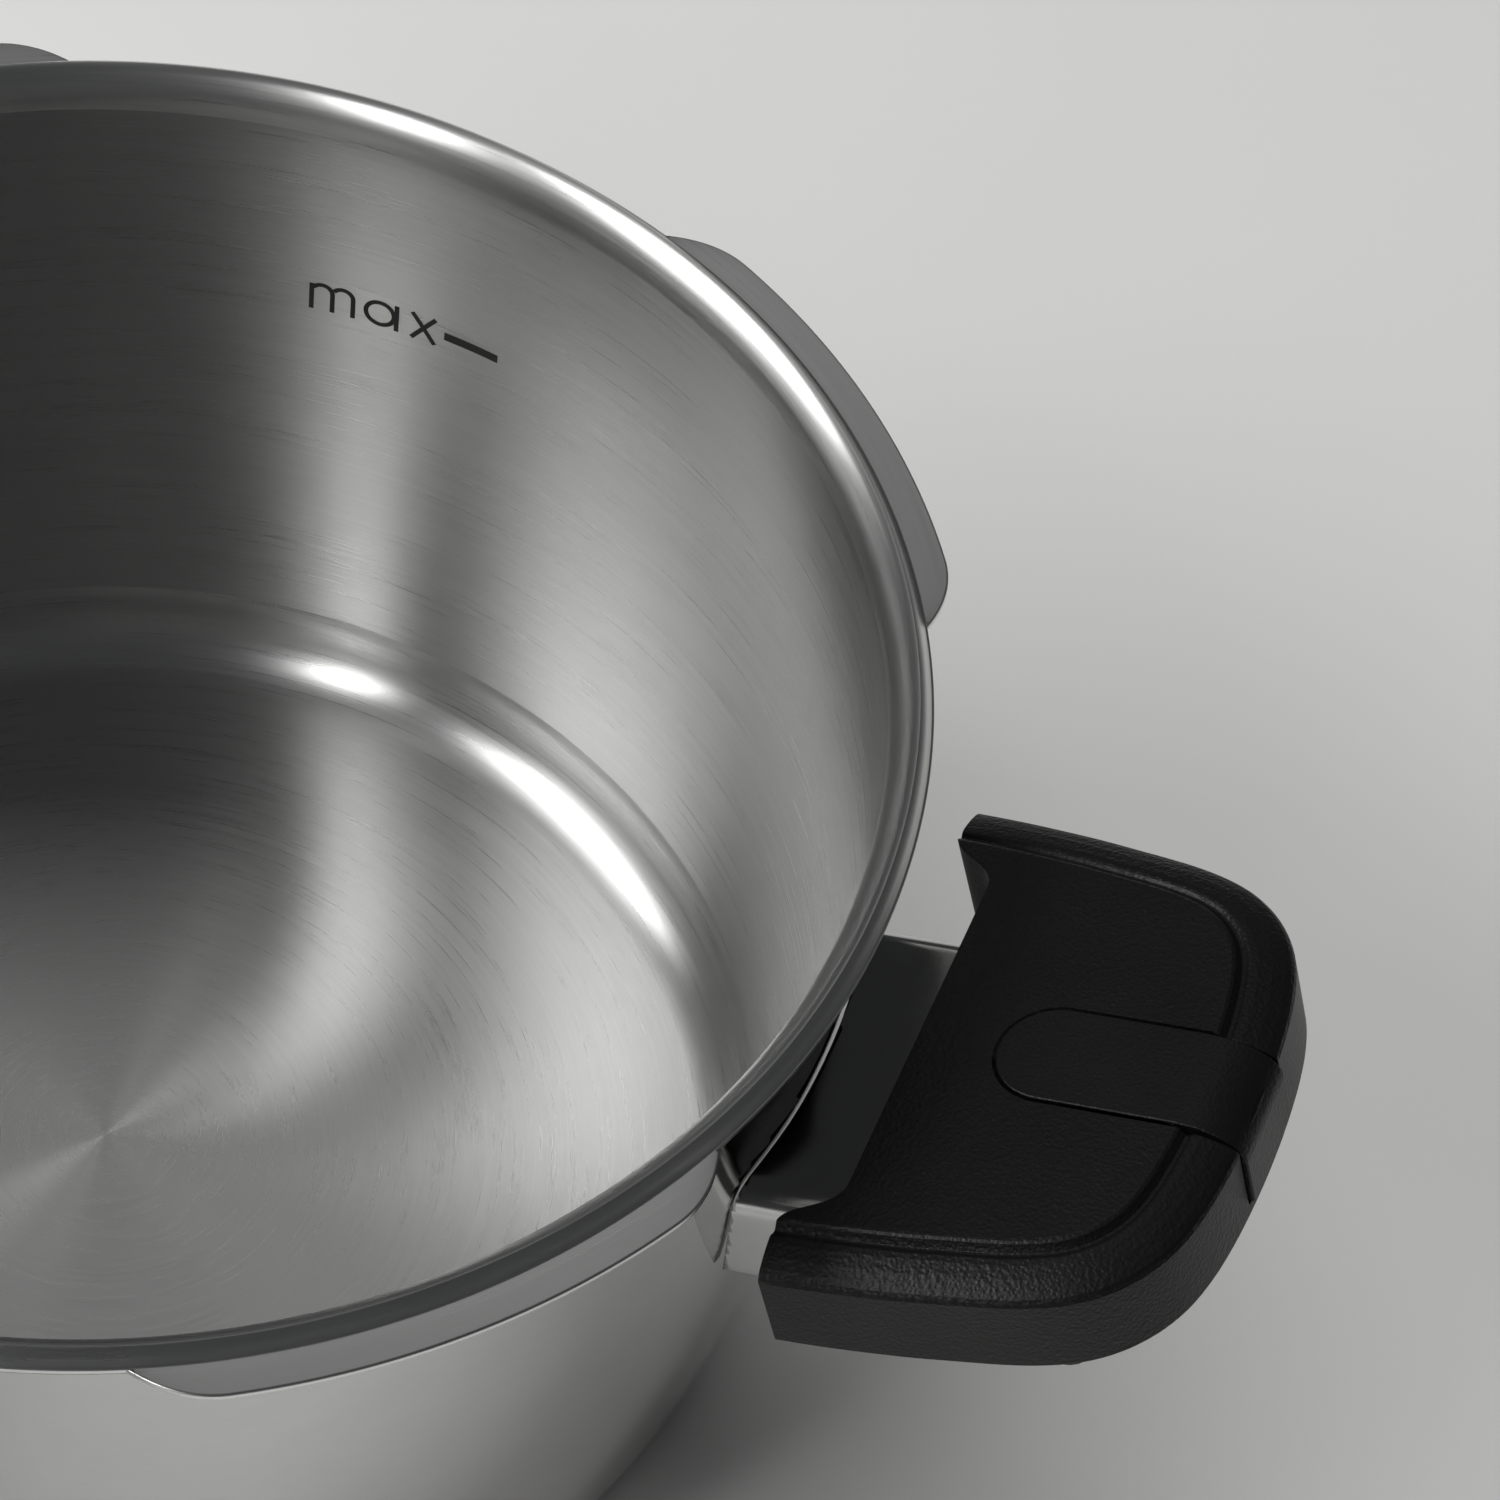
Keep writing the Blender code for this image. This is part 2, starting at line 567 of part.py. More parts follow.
make_pot()
make_side_handle("right", 0.0)
make_side_handle("left", 180.0)
LID_FRAME = make_lid_frame()
LID_SHELL = make_lid(LID_FRAME)
make_lid_handle(LID_SHELL, LID_FRAME)
make_regulator(LID_SHELL, LID_FRAME)
make_indicator(LID_SHELL, LID_FRAME)
make_safety_valve(LID_SHELL, LID_FRAME)
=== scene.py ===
"""An open stovetop pressure cooker on a pale table, with its bayonet lid lying turned over beside it."""
import math

import bmesh
import bpy
from mathutils import Matrix, Vector


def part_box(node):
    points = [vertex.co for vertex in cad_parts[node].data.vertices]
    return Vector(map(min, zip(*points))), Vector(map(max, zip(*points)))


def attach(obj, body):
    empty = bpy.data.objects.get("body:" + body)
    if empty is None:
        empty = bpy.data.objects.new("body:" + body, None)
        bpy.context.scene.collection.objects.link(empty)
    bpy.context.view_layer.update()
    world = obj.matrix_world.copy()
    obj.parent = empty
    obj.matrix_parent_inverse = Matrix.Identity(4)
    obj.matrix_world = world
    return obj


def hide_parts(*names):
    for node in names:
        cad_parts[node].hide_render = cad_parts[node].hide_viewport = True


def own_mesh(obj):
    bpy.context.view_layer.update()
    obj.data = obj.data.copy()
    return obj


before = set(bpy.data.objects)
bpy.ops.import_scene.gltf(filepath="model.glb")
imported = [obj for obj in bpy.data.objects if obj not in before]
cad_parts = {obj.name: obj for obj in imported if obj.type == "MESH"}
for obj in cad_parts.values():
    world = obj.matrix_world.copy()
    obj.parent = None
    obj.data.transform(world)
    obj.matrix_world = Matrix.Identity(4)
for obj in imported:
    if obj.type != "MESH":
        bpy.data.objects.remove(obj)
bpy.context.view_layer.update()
bpy.ops.object.select_all(action="DESELECT")

# ---------------------------------------------------------------- table, lamps and camera
# The pot stands on a matt table top that is far larger than it is. A wide soft lamp on the left
# makes the broad highlights in the steel, and a narrow one in front makes the upright streak.
MM = 0.001


class Value:
    """A socket that adds, subtracts and multiplies like a number; each sign adds a Math node."""

    def __init__(self, socket):
        self.socket = socket

    def maths(self, operation, *operands):
        node = self.socket.id_data.nodes.new("ShaderNodeMath")
        node.operation = operation
        for slot, operand in zip(node.inputs, operands):
            if isinstance(operand, Value):
                node.id_data.links.new(operand.socket, slot)
            else:
                slot.default_value = operand
        return Value(node.outputs[0])

    def __add__(self, other):
        return self.maths("ADD", self, other)

    def __sub__(self, other):
        return self.maths("SUBTRACT", self, other)

    def __rsub__(self, other):
        return self.maths("SUBTRACT", other, self)

    def __mul__(self, other):
        return self.maths("MULTIPLY", self, other)

    def __truediv__(self, other):
        return self.maths("DIVIDE", self, other)

    def __lt__(self, other):
        return self.maths("LESS_THAN", self, other)

    def __abs__(self):
        return self.maths("ABSOLUTE", self)

    def root(self):
        return self.maths("SQRT", self)

    def sine(self):
        return self.maths("SINE", self)

    __radd__ = __add__
    __rmul__ = __mul__


class Finish:
    """A material whose nodes are added one call at a time."""

    def __init__(self, name, metal, fixed):
        self.material = bpy.data.materials.new(name)
        self.material.use_nodes = True
        self.tree = self.material.node_tree
        self.shader = self.tree.nodes["Principled BSDF"]
        self.shader.inputs["Metallic"].default_value = metal
        for socket, value in fixed.items():
            self.shader.inputs[socket].default_value = value

    def feed(self, slot, value):
        if isinstance(value, Value):
            self.tree.links.new(value.socket, slot)
        else:
            slot.default_value = value

    def node(self, kind, settings, inputs, output=0):
        """Add a node: its settings first, then the values or links of its sockets."""
        node = self.tree.nodes.new("ShaderNode" + kind)
        for name, value in settings.items():
            setattr(node, name, value)
        for name, value in inputs.items():
            self.feed(node.inputs[name], value)
        return Value(node.outputs[output])

    def place(self):
        """The point in millimetres, as a vector and as three numbers."""
        point = self.node("TexCoord", {}, {}, "Object")
        point = self.node("VectorMath", {"operation": "SCALE"}, {0: point, "Scale": 1 / MM})
        x = self.node("SeparateXYZ", {}, {0: point}, "X")
        y = self.node("SeparateXYZ", {}, {0: point}, "Y")
        z = self.node("SeparateXYZ", {}, {0: point}, "Z")
        return point, x, y, z

    def vector(self, x, y, z):
        return self.node("CombineXYZ", {}, {"X": x, "Y": y, "Z": z})

    def noise(self, where, scale, detail=2.0, roughness=0.5):
        """Cloudy variation around 0.5."""
        return self.node("TexNoise", {}, {"Vector": where, "Scale": scale, "Detail": detail,
                                          "Roughness": roughness}, "Fac")

    def grey(self, dark, light, mix, warmth=0.985):
        """A neutral metal or plastic colour between two greys."""
        low = (dark, dark, dark * warmth, 1.0)
        high = (light, light, light * warmth, 1.0)
        return self.node("Mix", {"data_type": "RGBA"}, {0: mix, 6: low, 7: high}, 2)

    def bump(self, height, depth, strength=1.0):
        """Relief from a height that runs from 0 to 1, its depth in millimetres."""
        return self.node("Bump", {}, {"Height": height, "Distance": depth * MM, "Strength": strength})

    def wear(self, colour, roughness, normal):
        """Send what changes over the surface to the shader."""
        self.feed(self.shader.inputs["Base Color"], colour)
        self.feed(self.shader.inputs["Roughness"], roughness)
        self.feed(self.shader.inputs["Normal"], normal)
        return self.material


def table_finish():
    finish = Finish("pale_table", 0.0, {"Specular IOR Level": 0.25})
    where, x, y, z = finish.place()
    cloud = finish.noise(where, 0.006, 3.0)
    return finish.wear(finish.grey(0.56, 0.6, cloud), 0.8 + 0.1 * cloud,
                       finish.bump(finish.noise(where, 1.4, 2.0), 0.02))


bpy.ops.mesh.primitive_plane_add(size=9.0)
table = bpy.context.object
table.name = "table_top"
bpy.ops.object.mode_set(mode="EDIT")
bpy.ops.mesh.subdivide(number_cuts=3)
bpy.ops.object.mode_set(mode="OBJECT")
table.data.materials.append(table_finish())

world = bpy.data.worlds.new("studio")
world.use_nodes = True
world.node_tree.nodes["Background"].inputs["Color"].default_value = (0.95, 0.97, 1.0, 1.0)
world.node_tree.nodes["Background"].inputs["Strength"].default_value = 0.05
bpy.context.scene.world = world


def lamp(name, direction, height, distance, width, depth, power, in_steel=True):
    """A rectangular soft lamp that faces the pot; direction and height in degrees."""
    a, e = math.radians(direction), math.radians(height)
    back = Vector((math.cos(a) * math.cos(e), math.sin(a) * math.cos(e), math.sin(e)))
    bpy.ops.object.light_add(type="AREA", location=back * distance + Vector((0, 0, 60 * MM)))
    light = bpy.context.object
    light.name = name
    light.rotation_euler = back.to_track_quat("Z", "Y").to_euler()
    light.data.shape = "RECTANGLE"
    light.data.size = width
    light.data.size_y = depth
    light.data.energy = power
    light.visible_glossy = in_steel


lamp("soft_lamp_left", 202.0, 40.0, 1.15, 0.6, 0.6, 8.8)
lamp("soft_lamp_front", 252.0, 45.0, 1.3, 0.15, 0.52, 2.6)
lamp("card_behind", 111.0, 55.5, 1.5, 0.5, 0.62, 0.52)
lamp("fill_lamp", 60.0, 84.0, 2.2, 2.4, 2.4, 46.0, False)

bpy.ops.object.camera_add(location=(0.20996, -0.41746, 0.68959))
camera = bpy.context.object
camera.rotation_euler = [math.radians(a) for a in (38.7516, -4.8816, 21.5123)]
camera.data.lens = 126.37
camera.data.sensor_width = 36.0
camera.data.clip_start = 0.02
bpy.context.scene.camera = camera
bpy.context.scene.view_settings.view_transform = "Standard"

# ---------------------------------------------------------------- pot
# Body and floor are one sheet of stainless steel, drawn and spun on a lathe, so the brushing runs
# round it. Its rim is rolled outwards and polished, and four flat lugs stand out for the bayonet.
RIM_Z = 128.0
WALL_R = 110.0
SHEET = 0.8
FLOOR_Z = 8.4
BELLY_Z = 93.0
BELLY_SPAN = 634.0
CORNER_R = 10.0
LUG_ANGLE = 48.7
LUG_R = 121.2
FLANGE_R = 116.1
LUG_ROOT = 21.0
LUG_TIP = 15.0
POLISH_Z = 121.0


def arc(centre, radius, start, end, count):
    """Points on an arc, angles in degrees."""
    points = []
    for i in range(count + 1):
        angle = math.radians(start + (end - start) * i / count)
        points.append((centre[0] + radius * math.cos(angle), centre[1] + radius * math.sin(angle)))
    return points


def rounded(corners, steps=4, closed=False):
    """An outline with its corners rounded; each corner is (x, y) or (x, y, radius)."""
    points = []
    last = len(corners) - 1
    for i, corner in enumerate(corners):
        here = Vector(corner[:2])
        if len(corner) < 3 or (not closed and i in (0, last)):
            points.append(tuple(here))
            continue
        before = Vector(corners[i - 1][:2]) - here
        after = Vector(corners[(i + 1) % len(corners)][:2]) - here
        reach = corner[2] / math.tan(before.angle(after) / 2)
        reach = min(reach, before.length * 0.49, after.length * 0.49)
        start = here + before.normalized() * reach
        end = here + after.normalized() * reach
        for k in range(steps + 1):
            t = k / steps
            points.append(tuple(start * (1 - t) ** 2 + here * 2 * t * (1 - t) + end * t ** 2))
    return points


def choose(piece, test):
    """In edit mode, select the vertices whose place passes the test."""
    mesh = bmesh.from_edit_mesh(piece.data)
    for vertex in mesh.verts:
        vertex.select = test(vertex.co)
    mesh.select_flush_mode()
    bmesh.update_edit_mesh(piece.data)


def draw(name, points, closed=False):
    """Pull a chain of edges out of one vertex, point by point; points in millimetres. Stays in edit mode."""
    bpy.ops.object.select_all(action="DESELECT")
    bpy.ops.mesh.primitive_plane_add(size=MM)
    piece = bpy.context.object
    piece.name = name
    bpy.ops.object.mode_set(mode="EDIT")
    bpy.ops.mesh.select_all(action="SELECT")
    bpy.ops.mesh.merge(type="CENTER")
    points = [Vector(p) * MM for p in points]
    bpy.ops.transform.translate(value=points[0])
    for before, after in zip(points, points[1:]):
        bpy.ops.mesh.extrude_region_move(TRANSFORM_OT_translate={"value": after - before})
    if closed:
        ends = (points[0], points[-1])
        choose(piece, lambda co: min((co - end).length for end in ends) < 1e-7)
        bpy.ops.mesh.edge_face_add()
    bpy.ops.mesh.select_all(action="SELECT")
    return piece


def lathe(name, section, steps=96, sweep=360.0, closed=False):
    """Spin a section of (r, z) points about the upright axis."""
    piece = draw(name, [(r, 0.0, z) for r, z in section], closed)
    bpy.ops.mesh.spin(steps=steps, angle=math.radians(sweep), center=(0, 0, 0), axis=(0, 0, 1))
    weld(piece)
    return piece


def weld(piece):
    """Merge doubles, turn the faces outwards and leave edit mode."""
    bpy.ops.mesh.select_all(action="SELECT")
    bpy.ops.mesh.remove_doubles(threshold=0.002 * MM)
    bpy.ops.mesh.normals_make_consistent(inside=False)
    bpy.ops.object.mode_set(mode="OBJECT")
    bpy.ops.object.shade_smooth_by_angle(angle=math.radians(32))


def spin_quarter(piece, degrees):
    """Repeat a quarter four times round the axis and turn the whole to its angle."""
    bpy.ops.object.mode_set(mode="EDIT")
    bpy.ops.mesh.select_all(action="SELECT")
    bpy.ops.mesh.spin(steps=3, dupli=True, angle=math.radians(270), center=(0, 0, 0), axis=(0, 0, 1))
    weld(piece)
    piece.rotation_euler.z = math.radians(degrees)
    bpy.ops.object.transform_apply(location=False, rotation=True, scale=False)


def scale_columns(piece, factor, low, high, ring):
    """Move the vertices of a ring in or out over part of the sweep, given as degrees from its middle."""
    def inside(co):
        off = abs(abs(math.degrees(math.atan2(co.y, co.x))) - 45.0)
        return low <= off <= high and ring(co)

    choose(piece, inside)
    bpy.ops.transform.resize(value=(factor, factor, 1.0), center_override=(0.0, 0.0, 0.0))


def ease(t):
    return t * t * (3 - 2 * t)


def belly(z):
    """How far the wall has curved inwards at a height."""
    return max(0.0, BELLY_Z - z) ** 2 / BELLY_SPAN


def wall(offset, heights):
    return [(WALL_R + offset - belly(z), z) for z in heights]


corner_z = FLOOR_Z + CORNER_R
corner_top = corner_z - CORNER_R * 0.242
corner_x = WALL_R - belly(corner_top) - CORNER_R * 0.97
section = [(0, FLOOR_Z), (30, FLOOR_Z), (60, FLOOR_Z), (80, FLOOR_Z)]
section += arc((corner_x, corner_z), CORNER_R, -90, -14, 14)
section += wall(0, (17.5, 19.6)) + wall(0.14, (19.8, 20.1)) + wall(0, (20.3, 23, 28, 34, 41, 48, 56, 64, 74, 80, 83, 86, 89, 93))
section += wall(0, (108, 117))
rim = [(110.0, -9.0), (110.1, -6.3), (110.5, -4.2), (111.1, -2.75), (111.9, -1.6), (112.7, -0.72), (113.4, -0.15)]
rim += [(114.0, 0.0), (114.6, -0.4), (115.2, -1.15), (115.9, -2.1, 0.5), (LUG_R, -2.15, 0.42), (LUG_R, -3.2, 0.42)]
rim += [(115.6, -3.15, 1.2), (114.4, -2.1), (113.5, -1.2), (112.5, -1.85), (111.7, -3.0), (111.1, -4.7), (110.8, -7.0)]
section += [(r, RIM_Z + z) for r, z in rounded(rim, 6)]
section += wall(SHEET, (118, 108, 93, 84, 74, 64, 56, 48, 41, 34, 28, 23, 19))
section += arc((corner_x, corner_z), CORNER_R + SHEET, -14, -90, 14)
section += [(60, FLOOR_Z - SHEET), (0, FLOOR_Z - SHEET)]
pot = lathe("drawn_pot", section, 180, 90.0)
bpy.ops.object.mode_set(mode="EDIT")
lug_edge = 118.5 * MM


def on_lug(co):
    return co.xy.length > lug_edge


for half_degree in range(int(LUG_TIP * 2), int(LUG_ROOT * 2)):
    off = half_degree / 2
    reach = FLANGE_R + (LUG_R - FLANGE_R) * (1 - ((off - LUG_TIP) / (LUG_ROOT - LUG_TIP)) ** 2)
    scale_columns(pot, reach / LUG_R, off - 0.2, off + 0.2, on_lug)
scale_columns(pot, FLANGE_R / LUG_R, LUG_ROOT - 0.2, 46.0, on_lug)
bpy.ops.object.mode_set(mode="OBJECT")
spin_quarter(pot, LUG_ANGLE - 45.0)


def polar(finish):
    """Distance from the axis, and a point whose first two numbers go once round it."""
    where, x, y, z = finish.place()
    r = (x * x + y * y).root()
    return where, x / (r + 0.01), y / (r + 0.01), r, z


def brushed_finish(name, dark, light, rough, spread, anisotropy, grain):
    """Steel brushed round its axis: long fine streaks, uneven in tone and gloss."""
    finish = Finish(name, 1.0, {"Anisotropic": anisotropy, "Anisotropic Rotation": 0.25})
    where, across, along, r, z = polar(finish)
    travel = r + z
    fine = finish.noise(finish.vector(across * 3.5, along * 3.5, travel * 4.2), 1.0, 3.0, 0.6)
    broad = finish.noise(finish.vector(across * 2.0, along * 2.0, travel * 1.1), 1.0, 2.0, 0.6)
    cloud = finish.noise(where, 0.03, 2.0)
    tone = fine * 0.5 + broad * 0.35 + cloud * 0.15
    return finish.wear(finish.grey(dark, light, tone), rough + spread * (tone - 0.5) * 4.0,
                       finish.bump(fine * 0.8 + broad * 0.2, grain))


def polished_finish(name, dark, light, rough, spread, grain):
    """Buffed steel: glossy, with faint turning lines and hazy patches."""
    finish = Finish(name, 1.0, {})
    where, across, along, r, z = polar(finish)
    lines = finish.noise(finish.vector(across * 14.0, along * 14.0, (r + z) * 4.5), 1.0, 3.0, 0.7)
    haze = finish.noise(where, 0.12, 3.0)
    tone = lines * 0.6 + haze * 0.4
    return finish.wear(finish.grey(dark, light, tone), rough + spread * (tone - 0.5),
                       finish.bump(lines, grain))


pot.data.materials.append(brushed_finish("pot_inside", 0.46, 0.7, 0.29, 0.05, 0.9, 0.005))
pot.data.materials.append(brushed_finish("pot_rim", 0.62, 0.86, 0.3, 0.06, 0.6, 0.004))
pot.data.materials.append(polished_finish("pot_outside", 0.5, 0.6, 0.06, 0.06, 0.0004))
for face in pot.data.polygons:
    r = face.center.xy.length / MM
    height = face.center.z / MM
    faces_in = face.normal.xy.dot(face.center.xy) < 0 or (face.normal.z > 0.5 and height < 60)
    if height > POLISH_Z and (faces_in or height > RIM_Z - 3.6):
        face.material_index = 1
    else:
        face.material_index = 0 if faces_in else 2
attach(pot, "pot")
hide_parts("pot_body")

# ---------------------------------------------------------------- fill mark
# The highest level for filling is etched into the wall: a small word and a dash, dark and matt.
# It is modelled as a film that lies in the steel and stands a few hundredths of a millimetre out.
MARK_HEIGHT = 5.5
MARK_Z = 83.9
MARK_ANGLE = 98.5
STROKE = 0.78


def etched_finish():
    finish = Finish("etched_mark", 0.6, {})
    where, x, y, z = finish.place()
    spots = finish.noise(where, 2.2, 3.0)
    return finish.wear(finish.grey(0.03, 0.06, spots), 0.5 + 0.2 * spots, finish.bump(spots, 0.004))


def stroke(name, centres, width=STROKE):
    """A band of even width along a line of points, as a thin film."""
    left, right = [], []
    for i, here in enumerate(centres):
        before = Vector(centres[max(i - 1, 0)])
        after = Vector(centres[min(i + 1, len(centres) - 1)])
        side = (after - before).normalized().orthogonal() * width / 2
        left.append(tuple(Vector(here) + side))
        right.append(tuple(Vector(here) - side))
    piece = draw(name, [(x, y, -0.1) for x, y in left + right[::-1]], closed=True)
    bpy.ops.mesh.edge_face_add()
    bpy.ops.mesh.extrude_region_move(TRANSFORM_OT_translate={"value": (0, 0, 0.2 * MM)})
    weld(piece)
    return piece


def arch(left, right, top):
    """The arch of a letter m from one stem to the next."""
    bow = arc(((left + right) / 2, top - (right - left) / 2), (right - left) / 2, 150, 0, 12)
    return bow + [(right, top * i / 5) for i in (3, 2, 1, 0)]


x_high = MARK_HEIGHT
bowl = arc((11.3, x_high / 2), x_high / 2 - STROKE / 2, 180, -180, 40)
strokes = [[(0, 0), (0, x_high * 0.5), (0, x_high)], arch(0.0, 3.4, x_high), arch(3.4, 6.8, x_high)]
strokes += [bowl[:21], bowl[20:], [(14.1, 0), (14.1, x_high * 0.5), (14.1, x_high)]]
strokes += [[(16.7, 0), (18.7, x_high / 2), (20.7, x_high)], [(16.7, x_high), (18.7, x_high / 2), (20.7, 0)]]
films = [stroke("film", line) for line in strokes]
films.append(stroke("film", [(22.3, 2.8), (25.4, 2.8), (28.5, 2.8), (31.8, 2.8)], 1.6))
bpy.ops.object.select_all(action="DESELECT")
for film in films:
    film.select_set(True)
bpy.context.view_layer.objects.active = films[0]
bpy.ops.object.join()
mark = bpy.context.object
mark.name = "fill_mark"
for vertex in mark.data.vertices:
    angle = math.radians(MARK_ANGLE) - vertex.co.x / (WALL_R * MM)
    height = MARK_Z * MM + vertex.co.y
    radius = (WALL_R - belly(height / MM) + 0.04) * MM - vertex.co.z
    vertex.co = (radius * math.cos(angle), radius * math.sin(angle), height)
mark.data.materials.append(etched_finish())
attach(mark, "pot")

# ---------------------------------------------------------------- capsule base
# An aluminium disc spreads the heat under the floor. It is pressed into a steel cap whose rounded
# edge shows below the wall, and the cap is turned flat underneath in fine rings.
BASE_R = 95.5

section = [(0, 0.62), (BASE_R - 2.3, 0.62), (BASE_R - 0.62, 2.5), (BASE_R - 0.62, 7.8), (BASE_R - 0.3, 7.95)]
section += [(BASE_R, 7.8)] + rounded([(BASE_R, 7.0), (BASE_R, 0.0, 2.6), (88, 0.0)], 8)
for ring in (86, 70, 54, 38):
    section += [(ring + 1.2, 0.0), (ring + 0.7, 0.16), (ring - 0.7, 0.16), (ring - 1.2, 0.0)]
section += [(0, 0)]
base = lathe("base_skin", section, 240)
base.data.materials.append(brushed_finish("base_steel", 0.5, 0.64, 0.24, 0.06, 0.5, 0.004))
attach(base, "pot")
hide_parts("base_cap")


def cast_finish():
    finish = Finish("base_aluminium", 1.0, {})
    where, x, y, z = finish.place()
    spots = finish.noise(where, 0.9, 4.0)
    return finish.wear(finish.grey(0.62, 0.74, spots), 0.4 + 0.2 * spots, finish.bump(spots, 0.02))


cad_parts["base_core"].material_slots[0].material = cast_finish()

# ---------------------------------------------------------------- side brackets
# Each side handle hangs on a channel pressed from polished steel sheet and spot welded to the wall.
# Its top is dished so that it stays clear of the rim's underside.
GRIP_X = 120.0
GRIP_Z = 107.9
GRIP_TILT = math.radians(16.9)
BRACKET_HALF = 25.5
COVER_INSET = 3.2
BRACKET_TOP = -10.0
BRACKET_LOW = -27.0
BRACKET_SHEET = 1.5
grip_frame = Matrix.Translation((GRIP_X * MM, 0, GRIP_Z * MM)) @ Matrix.Rotation(-GRIP_TILT, 4, "Y")
sides = {"left": Matrix.Rotation(math.pi, 4, "Z"), "right": Matrix.Identity(4)}


def settle(piece, matrix):
    """Put a finished piece in its place, with its object left at the origin."""
    bpy.ops.object.select_all(action="DESELECT")
    piece.select_set(True)
    bpy.context.view_layer.objects.active = piece
    piece.matrix_world = matrix
    bpy.ops.object.transform_apply(location=True, rotation=True, scale=True)


def copy_of(piece, name, matrix):
    """Another of the same piece, with its own mesh."""
    bpy.ops.object.select_all(action="DESELECT")
    piece.select_set(True)
    bpy.context.view_layer.objects.active = piece
    bpy.ops.object.duplicate()
    other = bpy.context.object
    other.name = name
    settle(other, matrix)
    return other


def cut(piece, tool, operation="DIFFERENCE"):
    """Cut a piece with a tool, or join the tool to it, and throw the tool away."""
    bpy.ops.object.select_all(action="DESELECT")
    bpy.context.view_layer.objects.active = piece
    bpy.ops.object.modifier_add(type="BOOLEAN")
    modifier = piece.modifiers[-1]
    modifier.operation = operation
    modifier.solver = "EXACT"
    modifier.object = tool
    bpy.ops.object.modifier_apply(modifier=modifier.name)
    bpy.data.objects.remove(tool)


def soften(piece, width, segments=3, angle=35.0):
    """Round the sharp edges, in millimetres, and smooth the rest."""
    bpy.ops.object.select_all(action="DESELECT")
    piece.select_set(True)
    bpy.context.view_layer.objects.active = piece
    bpy.ops.object.modifier_add(type="BEVEL")
    modifier = piece.modifiers[-1]
    modifier.width = width * MM
    modifier.segments = segments
    modifier.angle_limit = math.radians(angle)
    modifier.use_clamp_overlap = False
    modifier.miter_outer = "MITER_ARC"
    bpy.ops.object.modifier_apply(modifier=modifier.name)
    bpy.ops.object.shade_smooth_by_angle(angle=math.radians(angle))
    bpy.ops.object.modifier_add(type="WEIGHTED_NORMAL")
    modifier = piece.modifiers[-1]
    modifier.keep_sharp = True
    bpy.ops.object.modifier_apply(modifier=modifier.name)


def block(name, outline, low, high):
    """A flat outline given thickness, all in millimetres."""
    piece = draw(name, [(x, y, low) for x, y in outline], closed=True)
    bpy.ops.mesh.edge_face_add()
    bpy.ops.mesh.extrude_region_move(TRANSFORM_OT_translate={"value": (0, 0, (high - low) * MM)})
    weld(piece)
    return piece


def oblong(name, low, high, corner=1.0, steps=5):
    """A block between two corners, rounded in plan."""
    (x0, y0, z0), (x1, y1, z1) = low, high
    outline = rounded([(x0, y0, corner), (x1, y0, corner), (x1, y1, corner), (x0, y1, corner)], steps, True)
    return block(name, outline, z0, z1)


half = BRACKET_HALF
section = [(-half, BRACKET_LOW), (-half, BRACKET_TOP - 9)]
section += arc((-half + 3.6, BRACKET_TOP - 3.6), 3.6, 180, 90, 8)
section += [(-half + 3.6 + (half - 3.6) * i / 6, BRACKET_TOP) for i in range(1, 6)]
section += [(0.0, BRACKET_TOP)] + [(-v, w) for v, w in reversed(section)]
bracket = draw("bracket_right_pressing", [(-24.0, v, w) for v, w in section])
for step in range(18):
    bpy.ops.mesh.extrude_region_move(TRANSFORM_OT_translate={"value": (3.0 * MM, 0, 0)})
choose(bracket, lambda co: abs(co.y) < 10 * MM and co.z > -10.5 * MM)
bpy.ops.transform.translate(value=(0, 0, -1.3 * MM), use_proportional_edit=True,
                            proportional_edit_falloff="SMOOTH", proportional_size=15.5 * MM)
bpy.ops.mesh.select_all(action="SELECT")
bpy.ops.mesh.normals_make_consistent(inside=False)
bpy.ops.object.mode_set(mode="OBJECT")
bpy.ops.object.modifier_add(type="SUBSURF")
bracket.modifiers[-1].levels = 2
bracket.modifiers[-1].render_levels = 2
bpy.ops.object.modifier_apply(modifier=bracket.modifiers[-1].name)
bpy.ops.object.modifier_add(type="SOLIDIFY")
bracket.modifiers[-1].thickness = BRACKET_SHEET * MM
bracket.modifiers[-1].offset = 0.0
bpy.ops.object.modifier_apply(modifier=bracket.modifiers[-1].name)
soften(bracket, 0.3, 2, 50.0)
fit = lathe("wall_fit", [(0, 60), (WALL_R + SHEET + 0.3, 60), (WALL_R + SHEET + 0.3, 126), (0, 126)], 180)
settle(fit, grip_frame.inverted())
cut(bracket, fit)
settle(bracket, grip_frame)


def buffed_finish():
    """Mirror polish with hairline scratches that run in every direction."""
    finish = Finish("bracket_polish", 1.0, {})
    where, x, y, z = finish.place()
    haze = finish.noise(where, 0.15, 3.0)
    scratch = finish.node("TexVoronoi", {"feature": "DISTANCE_TO_EDGE"}, {"Vector": where, "Scale": 0.22}, "Distance")
    lines = finish.noise(finish.vector(x * 0.4, y * 4.0, z * 0.4), 1.0, 2.0)
    return finish.wear(finish.grey(0.46, 0.56, haze), 0.1 + 0.1 * haze + 0.03 * (scratch < 0.006),
                       finish.bump(lines, 0.0008))


bracket.data.materials.append(buffed_finish())
for side, turn in sides.items():
    piece = bracket if side == "right" else copy_of(bracket, "bracket_left_pressing", turn)
    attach(piece, "pot")
    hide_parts("bracket_" + side)

